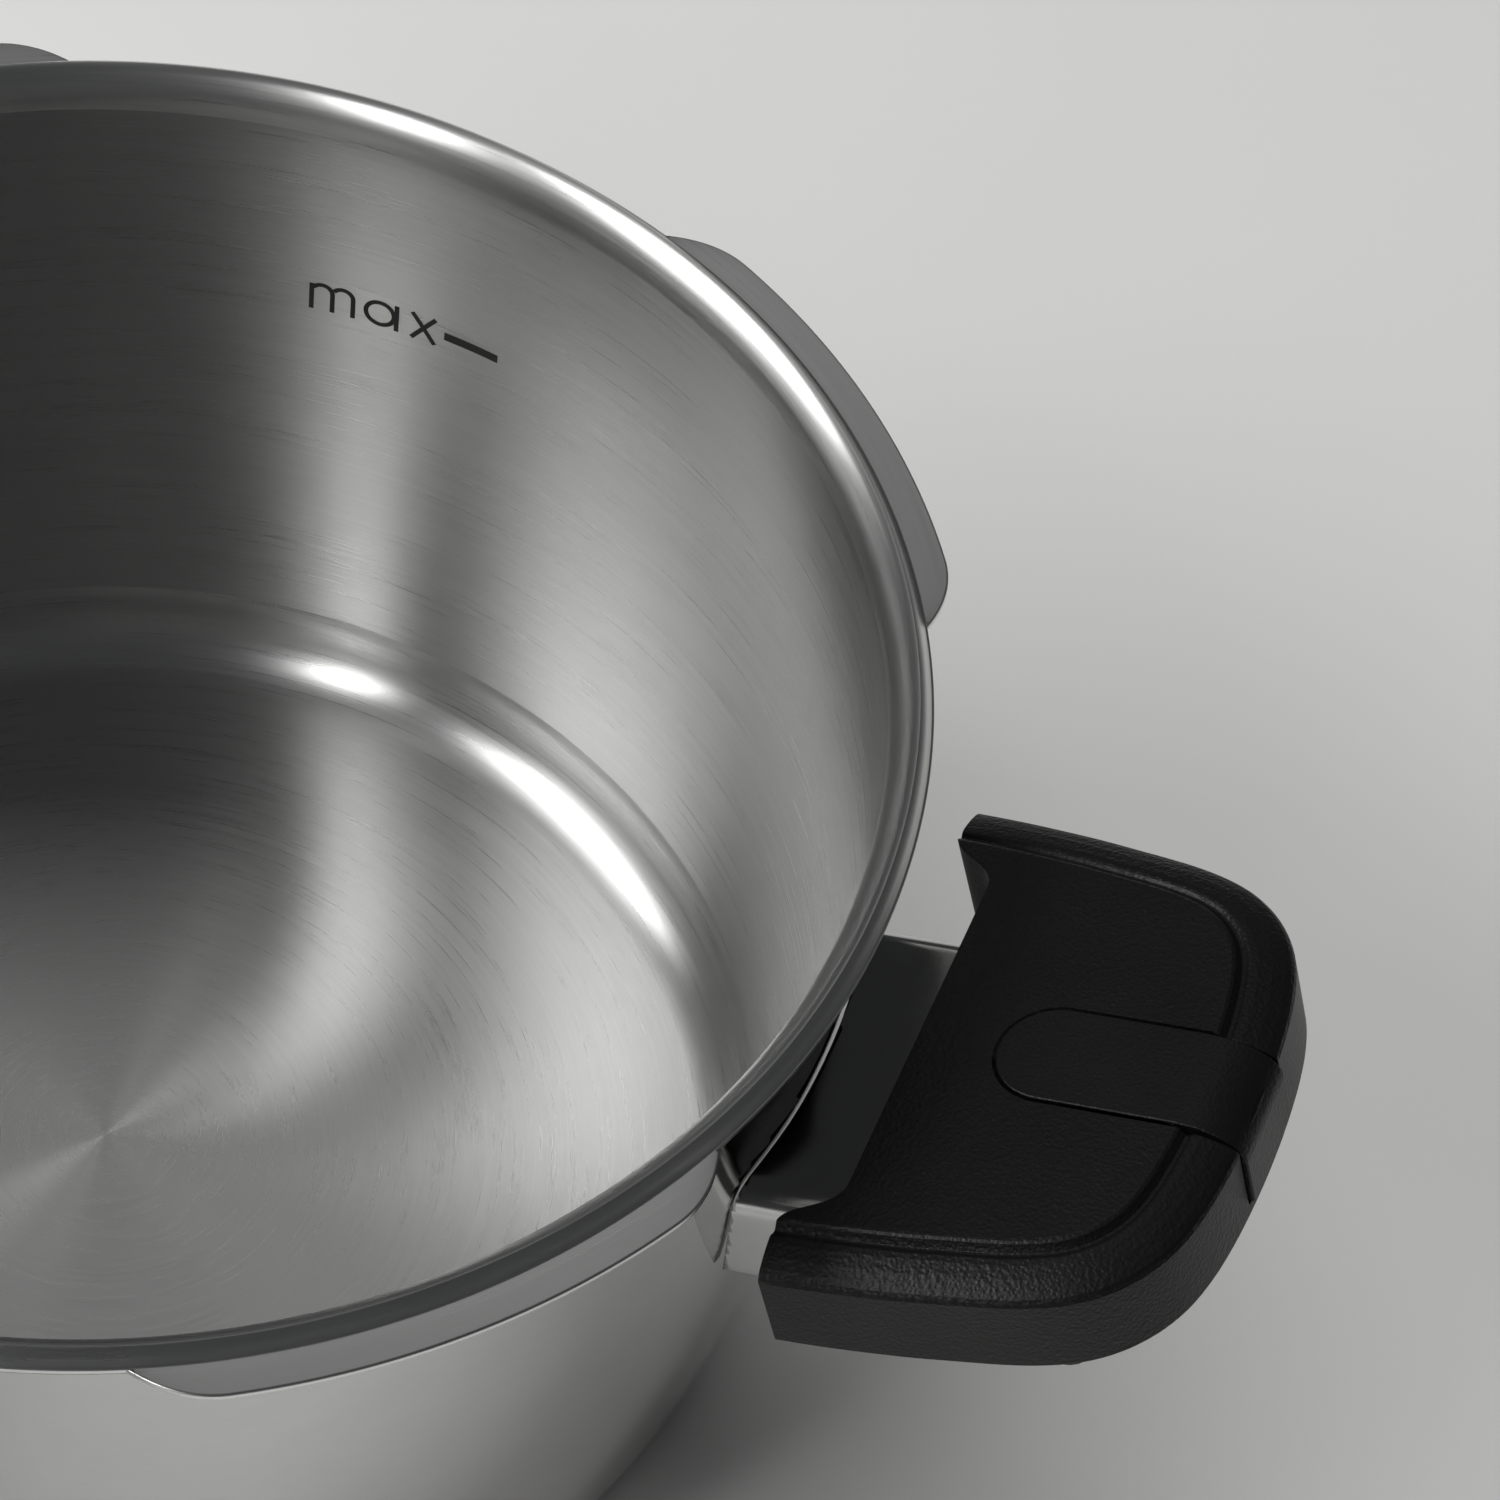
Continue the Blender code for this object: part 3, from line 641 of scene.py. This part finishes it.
# ---------------------------------------------------------------- side grips
# Each grip is moulded in black heat-proof plastic with a fine grain. A groove runs round its flat
# top, its shoulder falls away outside the groove, and a wing on each side reaches towards the wall.
GRIP_CREASE = -3.8
GRIP_DEPTH = 16.0
INLAY_HALF = 8.0
INLAY_START = 15.5
SCREW_U = 14.0
SCREW_V = 34.5


def moulded_finish(name, dark, light, rough, grain, pitch):
    """Black plastic from a spark-eroded mould: an even fine grain, rubbed smoother on the high spots."""
    finish = Finish(name, 0.0, {"Specular IOR Level": 0.3})
    where, x, y, z = finish.place()
    pits = finish.node("TexVoronoi", {"feature": "SMOOTH_F1"}, {"Vector": where, "Scale": pitch}, "Distance")
    dust = finish.noise(where, pitch * 0.8, 3.0)
    cloud = finish.noise(where, 0.05, 3.0)
    height = pits * 0.6 + dust * 0.4
    return finish.wear(finish.grey(dark, light, cloud * 0.6 + dust * 0.4, 1.0), rough + 0.16 * (cloud - 0.5),
                       finish.bump(height, grain))


half = [(-26.0, 43.9), (-10.0, 43.7), (-3.8, 43.5), (3.0, 43.2), (9.5, 42.7), (15.6, 42.1), (21.5, 41.3), (26.5, 40.6)]
half += [(31.0, 39.8), (35.4, 38.6), (39.4, 36.9), (42.8, 34.6), (45.6, 31.8), (47.9, 28.5), (49.6, 24.8)]
half += [(50.8, 20.5), (51.6, 15.8), (52.1, 10.8), (52.4, 5.4)]


def grip_outline(inset=0.0):
    """Plan of the grip as a smooth curve, drawn well past its inner edge; that edge is cut later."""
    control = [(u, -v) for u, v in half] + [(52.5, 0.0)] + [(u, v) for u, v in reversed(half)]
    points = [control[0]]
    for i in range(1, len(control) - 2):
        p0, p1, p2, p3 = (Vector(p) for p in control[i - 1:i + 3])
        for k in range(3):
            t = k / 3
            points.append(tuple(0.5 * (2 * p1 + (p2 - p0) * t + (2 * p0 - 5 * p1 + 4 * p2 - p3) * t * t
                                       + (3 * p1 - p0 - 3 * p2 + p3) * t ** 3)))
    points.append(control[-2])
    points.append(control[-1])
    if not inset:
        return points
    moved = []
    for before, here, after in zip([points[0]] + points[:-1], points, points[1:] + [points[-1]]):
        along = (Vector(after) - Vector(before)).normalized()
        moved.append((here[0] - along.y * inset, here[1] + along.x * inset))
    return moved


def inner_edge(shift=0.0):
    """Plan of the space towards the pot: straight in the middle, with an eased step to each wing."""
    side = [(3.8, 27.2), (3.6, 28.6), (2.9, 29.9), (1.6, 31.1), (0.0, 32.1), (-1.7, 33.1), (-2.9, 34.1), (-3.6, 35.3)]
    side += [(-3.8, 36.8), (-3.8, 60.0)]
    line = [(u + shift, -v) for u, v in reversed(side)] + [(u + shift, v) for u, v in side]
    return [(-60.0, -60.0)] + line + [(-60.0, 60.0)]


SHOULDER = [(0.25, 0.6), (0.4, 0.45), (0.8, 0.5), (1.6, 0.75), (1.9, 0.62), (0.9, 0.16), (0.4, -0.1), (0.35, -0.3)]
SHOULDER += [(0.3, -0.12), (0.3, 0.12), (0.35, 0.45), (0.4, 0.6), (0.4, 0.22), (0.4, 0.05)]
grip = block("grip_right_moulding", grip_outline(), -GRIP_DEPTH, GRIP_CREASE)
bpy.ops.object.mode_set(mode="EDIT")
bpy.ops.mesh.select_mode(type="FACE")
mesh = bmesh.from_edit_mesh(grip.data)
for face in mesh.faces:
    face.select = face.normal.z > 0.9
bmesh.update_edit_mesh(grip.data)
rise = sum(height for step, height in SHOULDER)
for step, height in SHOULDER:
    bpy.ops.mesh.inset(thickness=step * MM, depth=height * -GRIP_CREASE / rise * MM)
bpy.ops.mesh.select_mode(type="VERT")
weld(grip)
cut(grip, block("edge_cut", inner_edge(), -60, 60))
pocket_half = BRACKET_HALF + BRACKET_SHEET / 2 + 0.3
cut(grip, oblong("pocket", (-20, -pocket_half, -40), (30.3, pocket_half, BRACKET_TOP + 1.05), 1.2))
SCREW_TOP = -GRIP_DEPTH - 3.6
for v in (SCREW_V, -SCREW_V):
    bore = lathe("bore", [(0, SCREW_TOP - 4), (1.8, SCREW_TOP - 4), (1.8, SCREW_TOP + 10.2), (0, SCREW_TOP + 10.2)], 32)
    settle(bore, Matrix.Translation((SCREW_U * MM, v * MM, 0)))
    cut(grip, bore)


def inlay_strip(name, grow):
    """The strip let into the grip: a tongue along the top that turns down over the shoulder."""
    out = 53.0 + grow
    top = 0.25 + grow
    side = [(INLAY_START - grow, top), (43.0, top), (46.5, top - 0.35), (49.6, -1.3 + grow), (51.6, -2.7 + grow)]
    side += [(out - 0.2, -4.6), (out, -6.4), (out, -13.9 - grow), (51.2, -13.9 - grow), (51.2, -5.4), (49.6, -3.9)]
    side += [(46.4, -2.4 - grow), (INLAY_START - grow, -1.2 - grow)]
    strip = draw(name, [(u, -14.0, w) for u, w in side], closed=True)
    bpy.ops.mesh.edge_face_add()
    bpy.ops.mesh.extrude_region_move(TRANSFORM_OT_translate={"value": (0, 28 * MM, 0)})
    weld(strip)
    reach = INLAY_HALF + grow
    plan = arc((INLAY_START + INLAY_HALF, 0), reach, 90, 270, 24) + [(70, -reach), (70, reach)]
    cut(strip, block("plan", plan, -30, 10), "INTERSECT")
    return strip


cut(grip, inlay_strip("recess", 0.3))
soften(grip, 0.22, 2, 38.0)
settle(grip, grip_frame)
grip.data.materials.append(moulded_finish("grip_black", 0.0018, 0.0045, 0.44, 0.16, 1.9))

inlay = inlay_strip("grip_right_inlay_strip", 0.0)
soften(inlay, 0.3, 3, 38.0)
settle(inlay, grip_frame)
inlay.data.materials.append(moulded_finish("inlay_black", 0.0022, 0.005, 0.42, 0.12, 2.1))

# The under-cover closes the grip from below and has a trough that goes round the bracket.
cover_top = -GRIP_DEPTH - 0.3
cover = block("grip_right_undercover", grip_outline(COVER_INSET), cover_top - 3.0, cover_top)
trough_low = BRACKET_LOW - 2.7
cut(cover, oblong("trough", (-30, -29.2, trough_low), (34.0, 29.2, cover_top - 0.5), 4.0), "UNION")
cut(cover, block("edge_cut", inner_edge(COVER_INSET), -60, 60))
cut(cover, oblong("hollow", (-40, -pocket_half, trough_low + 2.4), (30.3, pocket_half, cover_top + 2), 2.0))
for v in (SCREW_V, -SCREW_V):
    bore = lathe("bore", [(0, -40), (1.8, -40), (1.8, 0), (0, 0)], 32)
    settle(bore, Matrix.Translation((SCREW_U * MM, v * MM, 0)))
    cut(cover, bore)
soften(cover, 0.7, 3, 40.0)
settle(cover, grip_frame)
cover.data.materials.append(moulded_finish("cover_black", 0.0018, 0.0042, 0.48, 0.14, 1.9))
for side, turn in sides.items():
    for piece, part, surface in ((grip, "upper", "black_grip"), (inlay, "inlay", "black_inlay"), (cover, "lower", "black_cover")):
        if side == "left":
            piece = copy_of(piece, piece.name.replace("right", "left"), turn)
        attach(piece, "pot")
        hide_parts("grip_" + part + "_" + side)

# ---------------------------------------------------------------- screws
# Pan-head screws with a cross recess, cold headed and zinc plated. Two hold each grip together
# from below, and two larger ones hold the lid's handle from inside the lid.


def plated_finish(name, dark, light, rough):
    """Plated steel: slightly cloudy, with faint turning marks."""
    finish = Finish(name, 1.0, {})
    where, x, y, z = finish.place()
    cloud = finish.noise(where, 0.5, 4.0)
    marks = finish.noise(finish.vector(x * 0.4, y * 0.4, z * 9.0), 1.0, 2.0)
    return finish.wear(finish.grey(dark, light, cloud), rough + 0.18 * (cloud - 0.4), finish.bump(marks, 0.003))


def pan_screw(name, head_r, head_h, shank_r, length):
    """Drawn with its head down and the bearing face of the head at height nought."""
    head = [(0, -head_h), (head_r * 0.45, -head_h), (head_r * 0.8, -head_h * 0.86), (head_r, -head_h * 0.3, 0.4), (head_r, 0)]
    section = rounded(head, 4) + [(shank_r, 0)]
    pitch = shank_r * 0.55
    height = 1.6
    while height < length - 2.0:
        section += [(shank_r * 0.96, height), (shank_r * 0.76, height + pitch * 0.35), (shank_r * 0.96, height + pitch * 0.7)]
        height += pitch
    section += [(shank_r * 0.7, length - 1.0), (shank_r * 0.3, length), (0, length)]
    screw = lathe(name, section, 40)
    for turn in (0, 90):
        arm = oblong("arm", (-head_r * 0.62, -head_r * 0.15, -head_h - 1), (head_r * 0.62, head_r * 0.15, -head_h * 0.42), 0.12, 2)
        settle(arm, Matrix.Rotation(math.radians(turn), 4, "Z"))
        cut(screw, arm)
    bpy.context.view_layer.objects.active = screw
    screw.select_set(True)
    bpy.ops.object.shade_smooth_by_angle(angle=math.radians(35))
    return screw


grip_screw = pan_screw("grip_right_screw_1", 3.0, 2.0, 1.5, 9.5)
grip_screw.data.materials.append(plated_finish("screw_plating", 0.42, 0.56, 0.28))
for side, turn in sides.items():
    for number, v in ((1, SCREW_V), (2, -SCREW_V)):
        spot = turn @ grip_frame @ Matrix.Translation((SCREW_U * MM, v * MM, SCREW_TOP * MM))
        piece = copy_of(grip_screw, f"grip_{side}_pan_screw_{number}", spot)
        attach(piece, "pot")
        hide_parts(f"grip_screw_{side}_{number}")
bpy.data.objects.remove(grip_screw)

# ---------------------------------------------------------------- lid
# The lid is a shallow steel dome with a turned-down skirt. Four tabs stand inwards from the skirt's
# edge and go under the pot's lugs when the lid is turned. It lies turned over on its handle.
LID_TOP = 22.0
LID_SHEET = 1.2
LID_R = 126.4
SKIRT_Z = -9.6
TAB_R = 118.2
TAB_HALF = 17.0
HANDLE_ANGLE = 45.0
shell_low, shell_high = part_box("lid_shell")
lid_middle = (shell_low + shell_high) / 2
over_axis = Vector((lid_middle.y, -lid_middle.x, 0.0)).normalized()
lid_height = shell_high.z + SKIRT_Z * MM
lid_frame = Matrix.Translation((lid_middle.x, lid_middle.y, lid_height)) @ Matrix.Rotation(math.pi, 4, over_axis)


def on_lid(radius, angle, height=0.0, turn=0.0):
    """A place in the lid's plan, as a matrix."""
    a = math.radians(angle)
    spot = Matrix.Translation((radius * math.cos(a) * MM, radius * math.sin(a) * MM, height * MM))
    return lid_frame @ spot @ Matrix.Rotation(math.radians(turn), 4, "Z")


top = [(0, 22), (40, 22), (80, 22, 20), (95, 19.6, 12), (105.2, 14.6, 9), (110.6, 8.8, 5), (113.4, 7.8, 2)]
top += [(122.4, 7.8, 1.2), (125.3, 6.5, 1.6), (LID_R, 3.4, 2), (LID_R, -4.0), (LID_R, SKIRT_Z, 0.5)]
tab = [(TAB_R, SKIRT_Z, 0.5), (TAB_R, SKIRT_Z + 1.4, 0.5)]
under = [(LID_R - 1.4, SKIRT_Z + 1.4, 0.8), (LID_R - 1.4, 3.2, 1.5), (124.2, 5.5, 1.2), (122.0, 6.6, 1)]
under += [(112.6, 6.6, 2), (109.6, 7.8, 4), (104.2, 13.4, 9), (94.4, 18.4, 12), (79.8, 20.8, 20), (40, 20.8), (0, 20.8)]
lid = lathe("lid_dome", rounded(top + tab + under, 6), 120, 90.0)
bpy.ops.object.mode_set(mode="EDIT")


def on_tab(co):
    return co.z < (SKIRT_Z + 1.45) * MM and co.xy.length < 121.5 * MM


for off in (17.25, 18.0, 18.75, 19.5):
    reach = TAB_R + (LID_R - 1.9 - TAB_R) * ease((off - TAB_HALF + 0.25) / 3.0)
    scale_columns(lid, reach / TAB_R, off - 0.3, off + 0.3, on_tab)
scale_columns(lid, (LID_R - 1.7) / TAB_R, 20.0, 46.0, on_tab)
bpy.ops.object.mode_set(mode="OBJECT")
spin_quarter(lid, LUG_ANGLE)
REGULATOR = (56.0, 135.0)
INDICATOR = (56.0, -45.0)
SAFETY = (62.0, 5.0)
HOLES = [(*REGULATOR, 5.3), (*INDICATOR, 4.2), (*SAFETY, 5.3), (20.0, 45.0, 2.3), (20.0, 225.0, 2.3)]
for radius, angle, bore_r in HOLES:
    bore = lathe("bore", [(0, 15), (bore_r, 15), (bore_r, 28), (0, 28)], 48)
    settle(bore, lid_frame.inverted() @ on_lid(radius, angle))
    cut(lid, bore)
bpy.context.view_layer.objects.active = lid
lid.select_set(True)
bpy.ops.object.shade_smooth_by_angle(angle=math.radians(32))
settle(lid, lid_frame)


def domed_finish(name, dark, light, rough, grain):
    """Steel polished round the middle of the lid, in fine rings."""
    finish = Finish(name, 1.0, {"Anisotropic": 0.45, "Anisotropic Rotation": 0.25})
    where, x, y, z = finish.place()
    x, y = x - lid_middle.x / MM, y - lid_middle.y / MM
    r = (x * x + y * y).root() + 0.01
    across, along = x / r, y / r
    fine = finish.noise(finish.vector(across * 9.0, along * 9.0, r * 5.0 + z * 3.0), 1.0, 3.0, 0.6)
    haze = finish.noise(where, 0.05, 3.0)
    return finish.wear(finish.grey(dark, light, fine * 0.5 + haze * 0.5), rough + 0.12 * (haze - 0.4),
                       finish.bump(fine, grain))


lid.data.materials.append(domed_finish("lid_steel", 0.56, 0.7, 0.19, 0.003))
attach(lid, "lid")
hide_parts("lid_shell")

# ---------------------------------------------------------------- lid seal
# A moulded silicone ring lies in the lid's channel. Its lip opens towards the pot, so that the
# steam presses it tight.


def silicone_finish():
    finish = Finish("seal_silicone", 0.0, {"Specular IOR Level": 0.45, "Subsurface Weight": 0.05})
    where, x, y, z = finish.place()
    cloud = finish.noise(where, 0.08, 3.0)
    dust = finish.noise(where, 3.0, 3.0)
    return finish.wear(finish.grey(0.3, 0.38, cloud * 0.6 + dust * 0.4, 1.0), 0.42 + 0.2 * dust,
                       finish.bump(dust, 0.012))


silicone = silicone_finish()
ring = [(112.7, 6.2, 0.5), (120.8, 6.2, 0.8), (121.2, 3.4, 1.5), (120.8, 0.6, 0.8), (116.6, 0.9, 0.6), (112.2, 0.6, 0.4)]
ring += [(112.5, 1.9, 0.4), (118.4, 2.5, 0.5), (118.4, 4.3, 0.5), (112.9, 4.6, 0.5)]
seal = lathe("lid_seal_ring", rounded(ring, 4, True), 240, closed=True)
settle(seal, lid_frame)
seal.data.materials.append(silicone)
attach(seal, "lid_seal")
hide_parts("lid_gasket")

# ---------------------------------------------------------------- lid handle
# One black moulding makes the pedestal and the finger bar. A slim cap is snapped into its top and
# hides the mould's cores; two screws hold the handle from inside the lid.
SEAT = LID_TOP + 0.3
BAR_TOP = 57.2
CAP_TOP = 61.7
side = [(-33, SEAT, 1.5), (33, SEAT, 1.5), (34.5, SEAT + 9, 12), (45, SEAT + 24, 12), (58, SEAT + 25.5, 3.5)]
side += [(58, SEAT + 31, 3), (52, BAR_TOP, 4), (-52, BAR_TOP, 4), (-58, SEAT + 31, 3), (-58, SEAT + 25.5, 3.5)]
side += [(-45, SEAT + 24, 12), (-34.5, SEAT + 9, 12)]
handle = block("lid_handle_moulding", rounded(side, 8, True), -16.0, 16.0)
settle(handle, Matrix.Rotation(math.pi / 2, 4, "X"))
recess = oblong("recess", (-48.4, -12.9, BAR_TOP - 0.9), (48.4, 12.9, BAR_TOP + 5), 8.4, 8)
cut(handle, recess)
for reach in (20, -20):
    bore = lathe("bore", [(0, 10), (2.3, 10), (2.3, 35.4), (0, 35.4)], 32)
    settle(bore, Matrix.Translation((reach * MM, 0, 0)))
    cut(handle, bore)
for v in (-16.0, 16.0):
    waist = oblong("waist", (-24, -3.2, SEAT + 4), (24, 3.2, SEAT + 19), 2.0, 6)
    settle(waist, Matrix.Translation((0, v * MM, 0)))
    cut(handle, waist)
soften(handle, 1.6, 4, 40.0)
settle(handle, on_lid(0, 0, 0, HANDLE_ANGLE))
lid_plastic = moulded_finish("lid_black", 0.0018, 0.0045, 0.44, 0.16, 1.9)
handle.data.materials.append(lid_plastic)
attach(handle, "lid")
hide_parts("lid_handle_body")

cap = oblong("lid_handle_cap", (-48, -12.5, BAR_TOP - 0.6), (48, 12.5, CAP_TOP), 8.0, 12)
groove = oblong("groove", (-38, -0.5, CAP_TOP - 0.6), (38, 0.5, CAP_TOP + 1), 0.5, 4)
soften(cap, 1.1, 4, 40.0)
cut(cap, groove)
settle(cap, on_lid(0, 0, 0, HANDLE_ANGLE))
cap.data.materials.append(moulded_finish("cap_black", 0.003, 0.006, 0.38, 0.08, 2.2))
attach(cap, "lid")
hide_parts("lid_handle_cover")
plating = plated_finish("valve_plating", 0.5, 0.66, 0.2)
handle_screw = pan_screw("lid_pan_screw", 4.2, 2.4, 2.0, 14.0)
handle_screw.data.materials.append(plating)
for number, angle in ((1, HANDLE_ANGLE), (2, HANDLE_ANGLE + 180)):
    piece = copy_of(handle_screw, f"lid_pan_screw_{number}", on_lid(20, angle, LID_TOP - LID_SHEET - 0.3))
    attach(piece, "lid")
    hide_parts(f"lid_handle_screw_{number}")
bpy.data.objects.remove(handle_screw)

# ---------------------------------------------------------------- pressure regulator
# A turned stem is held in the lid by a hexagon nut with a silicone washer under it. A sprung
# poppet closes its bore, and the black knob over it is turned to choose the pressure or let steam out.
UNDER = LID_TOP - LID_SHEET


def valve_piece(name, node, section, spot, body, finish, steps=64, closed=False):
    """Turn a small part, set it in the lid and let it stand for its CAD node."""
    piece = lathe(name, section, steps, closed=closed)
    settle(piece, on_lid(*spot))
    piece.data.materials.append(finish)
    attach(piece, body)
    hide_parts(node)
    return piece


def hex_nut(name, node, spot, across, bore_r, low, high):
    """A nut with chamfered corners and a threaded bore."""
    nut = block(name, arc((0, 0), across / math.sqrt(3), 0, 300, 5), low, high)
    corner = across / math.sqrt(3)
    chamfer = [(0, low), (across * 0.49, low), (corner, low + 0.9), (corner, high - 0.9), (across * 0.49, high), (0, high)]
    cut(nut, lathe("chamfer", chamfer, 60), "INTERSECT")
    thread = [(0, low - 1), (bore_r + 0.6, low - 0.3)]
    height = low + 0.3
    while height < high - 0.4:
        thread += [(bore_r, height), (bore_r + 0.28, height + 0.35)]
        height += 0.7
    thread += [(bore_r, height), (bore_r + 0.6, high + 0.3), (0, high + 1)]
    cut(nut, lathe("thread", thread, 60))
    bpy.context.view_layer.objects.active = nut
    nut.select_set(True)
    bpy.ops.object.shade_smooth_by_angle(angle=math.radians(30))
    settle(nut, on_lid(*spot))
    nut.data.materials.append(plating)
    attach(nut, "lid")
    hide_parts(node)


stem = [(4.2, 38, 0.3), (6.0, 38, 0.5), (6.0, SEAT + 2, 0.4), (8.5, SEAT + 2, 0.5), (8.5, SEAT, 0.3), (5.0, SEAT, 0.2)]
stem += [(5.0, 11, 0.6), (1.9, 11, 0.4), (1.9, 26), (4.2, 28)]
valve_piece("regulator_stem", "regulator_body", rounded(stem, 3, True), REGULATOR, "lid", plating, 64, True)
washer = [(5.3, UNDER - 2.1, 0.3), (9.0, UNDER - 2.1, 0.6), (9.0, UNDER - 0.3, 0.6), (5.3, UNDER - 0.3, 0.3)]
valve_piece("regulator_washer", "regulator_seal", rounded(washer, 4, True), REGULATOR, "lid", silicone, 64, True)
hex_nut("regulator_hex_nut", "regulator_nut", REGULATOR, 15.0, 5.3, UNDER - 6.6, UNDER - 2.4)
poppet = [(0, 31), (3.7, 31, 0.5), (3.7, 28.6, 0.3), (1.3, 26.2, 0.3), (1.3, 24.5, 0.3), (0, 24.5)]
valve_piece("regulator_poppet", "vent_poppet", rounded(poppet, 3), REGULATOR, "vent_poppet", plating)

knob = [(0, 45.6), (8.5, 45.6, 1), (10, 46, 1), (14.0, 44.8, 1.6), (15, 42, 1.6), (15, 27, 0.7), (13.8, 26, 0.5)]
knob += [(12.6, 26, 0.5), (12.6, 36, 1), (6.5, 37, 0.5), (6.5, 38.6, 0.5), (0, 38.6)]
knob = lathe("regulator_knob", rounded(knob, 4), 96)
fin = oblong("fin", (-2.2, -12, 43.6), (2.2, 12, 48.4), 2.1, 6)
cut(knob, fin, "UNION")
for flute in range(18):
    dent = lathe("dent", [(0, 24), (1.3, 24), (1.3, 40), (0.7, 41.2), (0, 41.6)], 20)
    a = math.radians(20 * flute)
    settle(dent, Matrix.Translation((15.9 * MM * math.cos(a), 15.9 * MM * math.sin(a), 0)))
    cut(knob, dent)
soften(knob, 0.3, 2, 40.0)
settle(knob, on_lid(*REGULATOR, 0.0, REGULATOR[1]))
knob.data.materials.append(lid_plastic)
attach(knob, "selector_knob")
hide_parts("selector_knob")

# ---------------------------------------------------------------- pressure indicator
# A headed pin slides in a bush in the lid. Steam lifts it until the small silicone ring under its
# foot closes the bush; with the lid turned over it hangs out by its own weight.
bush = [(2.2, SEAT + 2.4, 0.2), (5.2, SEAT + 2.4, 0.5), (7.0, SEAT + 1.2, 0.4), (7.0, SEAT, 0.2), (3.9, SEAT, 0.2)]
bush += [(3.9, 16.4, 0.3), (2.2, 16.4, 0.2)]
valve_piece("indicator_sleeve", "indicator_bush", rounded(bush, 3, True), INDICATOR, "lid", plating, 64, True)
pin = [(0, 32), (1.2, 32, 0.4), (1.9, 31.2, 0.3), (1.9, 27.6), (1.7, 27.4), (1.7, 27.0), (1.9, 26.8), (1.9, 14.3)]
pin += [(3.4, 14.3, 0.3), (3.4, 12.3, 0.4), (0, 12.3)]
valve_piece("indicator_stem", "indicator_pin", rounded(pin, 3), INDICATOR, "indicator_pin", plating, 48)
washer = [(2.2, 14.6, 0.2), (3.6, 14.6, 0.5), (3.6, 16.1, 0.5), (2.2, 16.1, 0.2)]
valve_piece("indicator_washer", "indicator_seal", rounded(washer, 4, True), INDICATOR, "indicator_pin",
            silicone, 48, True)

# ---------------------------------------------------------------- safety valve
# If the regulator is blocked, steam lifts this plunger against its spring. The spring is held by a
# cap ring pressed into the turned body, and a nut and washer hold the body as in the regulator.
stem = [(3.6, 28, 0.3), (6.4, 28, 0.3), (6.4, SEAT + 2, 0.4), (8.0, SEAT + 2, 0.5), (8.0, SEAT, 0.3), (5.0, SEAT, 0.2)]
stem += [(5.0, 12.6, 0.6), (1.9, 12.6, 0.4), (1.9, 16), (3.6, 17)]
valve_piece("safety_stem", "safety_body", rounded(stem, 3, True), SAFETY, "lid", plating, 64, True)
washer = [(5.3, UNDER - 2.1, 0.3), (8.6, UNDER - 2.1, 0.6), (8.6, UNDER - 0.3, 0.6), (5.3, UNDER - 0.3, 0.3)]
valve_piece("safety_washer", "safety_seal", rounded(washer, 4, True), SAFETY, "lid", silicone, 64, True)
hex_nut("safety_hex_nut", "safety_nut", SAFETY, 14.0, 5.3, UNDER - 6.0, UNDER - 2.4)
plunger = [(0, 32), (1.1, 32, 0.4), (1.1, 19.6, 0.2), (3.1, 19.6, 0.3), (3.1, 17.4, 0.2), (1.6, 16.6, 0.3), (1.6, 14, 0.4)]
plunger += [(0, 14)]
valve_piece("safety_poppet", "safety_plunger", rounded(plunger, 3), SAFETY, "safety_plunger", plating, 48)
cap = [(1.5, 30, 0.2), (5.6, 30, 0.5), (6.4, 29.2, 0.4), (6.4, 28.3, 0.2), (1.5, 28.3, 0.2)]
valve_piece("safety_cap_ring", "safety_cap", rounded(cap, 3, True), SAFETY, "lid", plating, 64, True)

# ---------------------------------------------------------------- springs
# Both valve springs are wound from hard round wire and lightly oiled. One end of each rests in
# its housing, and the lifting valve presses the other end towards it; here each spring is wound at
# one length and stays fixed to the lid.
spring_wire = plated_finish("drawn_spring_wire", 0.34, 0.48, 0.25)
springs = [("vent_spring_coil", "vent_spring", REGULATOR, 3.0, 31.3, 38.2, 4, "vent_lift", 1.5)]
springs += [("safety_spring_coil", "safety_spring", SAFETY, 2.3, 19.9, 28.0, 5, "safety_lift", 2.0)]
WIRE = 0.4
for name, node, spot, radius, low, high, turns, joint, lift in springs:
    piece = draw(name, [(r, 0.0, z) for r, z in arc((radius, low + WIRE), WIRE, 0, 330, 11)], closed=True)
    bpy.ops.object.mode_set(mode="OBJECT")
    bpy.ops.object.modifier_add(type="SCREW")
    winding = piece.modifiers[-1]
    winding.screw_offset = (high - low - 2 * WIRE) / turns * MM
    winding.iterations = turns
    winding.steps = winding.render_steps = 32
    bpy.ops.object.modifier_apply(modifier=winding.name)
    bpy.ops.object.mode_set(mode="EDIT")
    bpy.ops.mesh.select_all(action="SELECT")
    bpy.ops.mesh.fill_holes(sides=0)
    weld(piece)
    settle(piece, on_lid(*spot))
    piece.data.materials.append(spring_wire)
    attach(piece, "lid")
    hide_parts(node)
    on_lid(*spot[:2], high).translation
    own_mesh(piece)
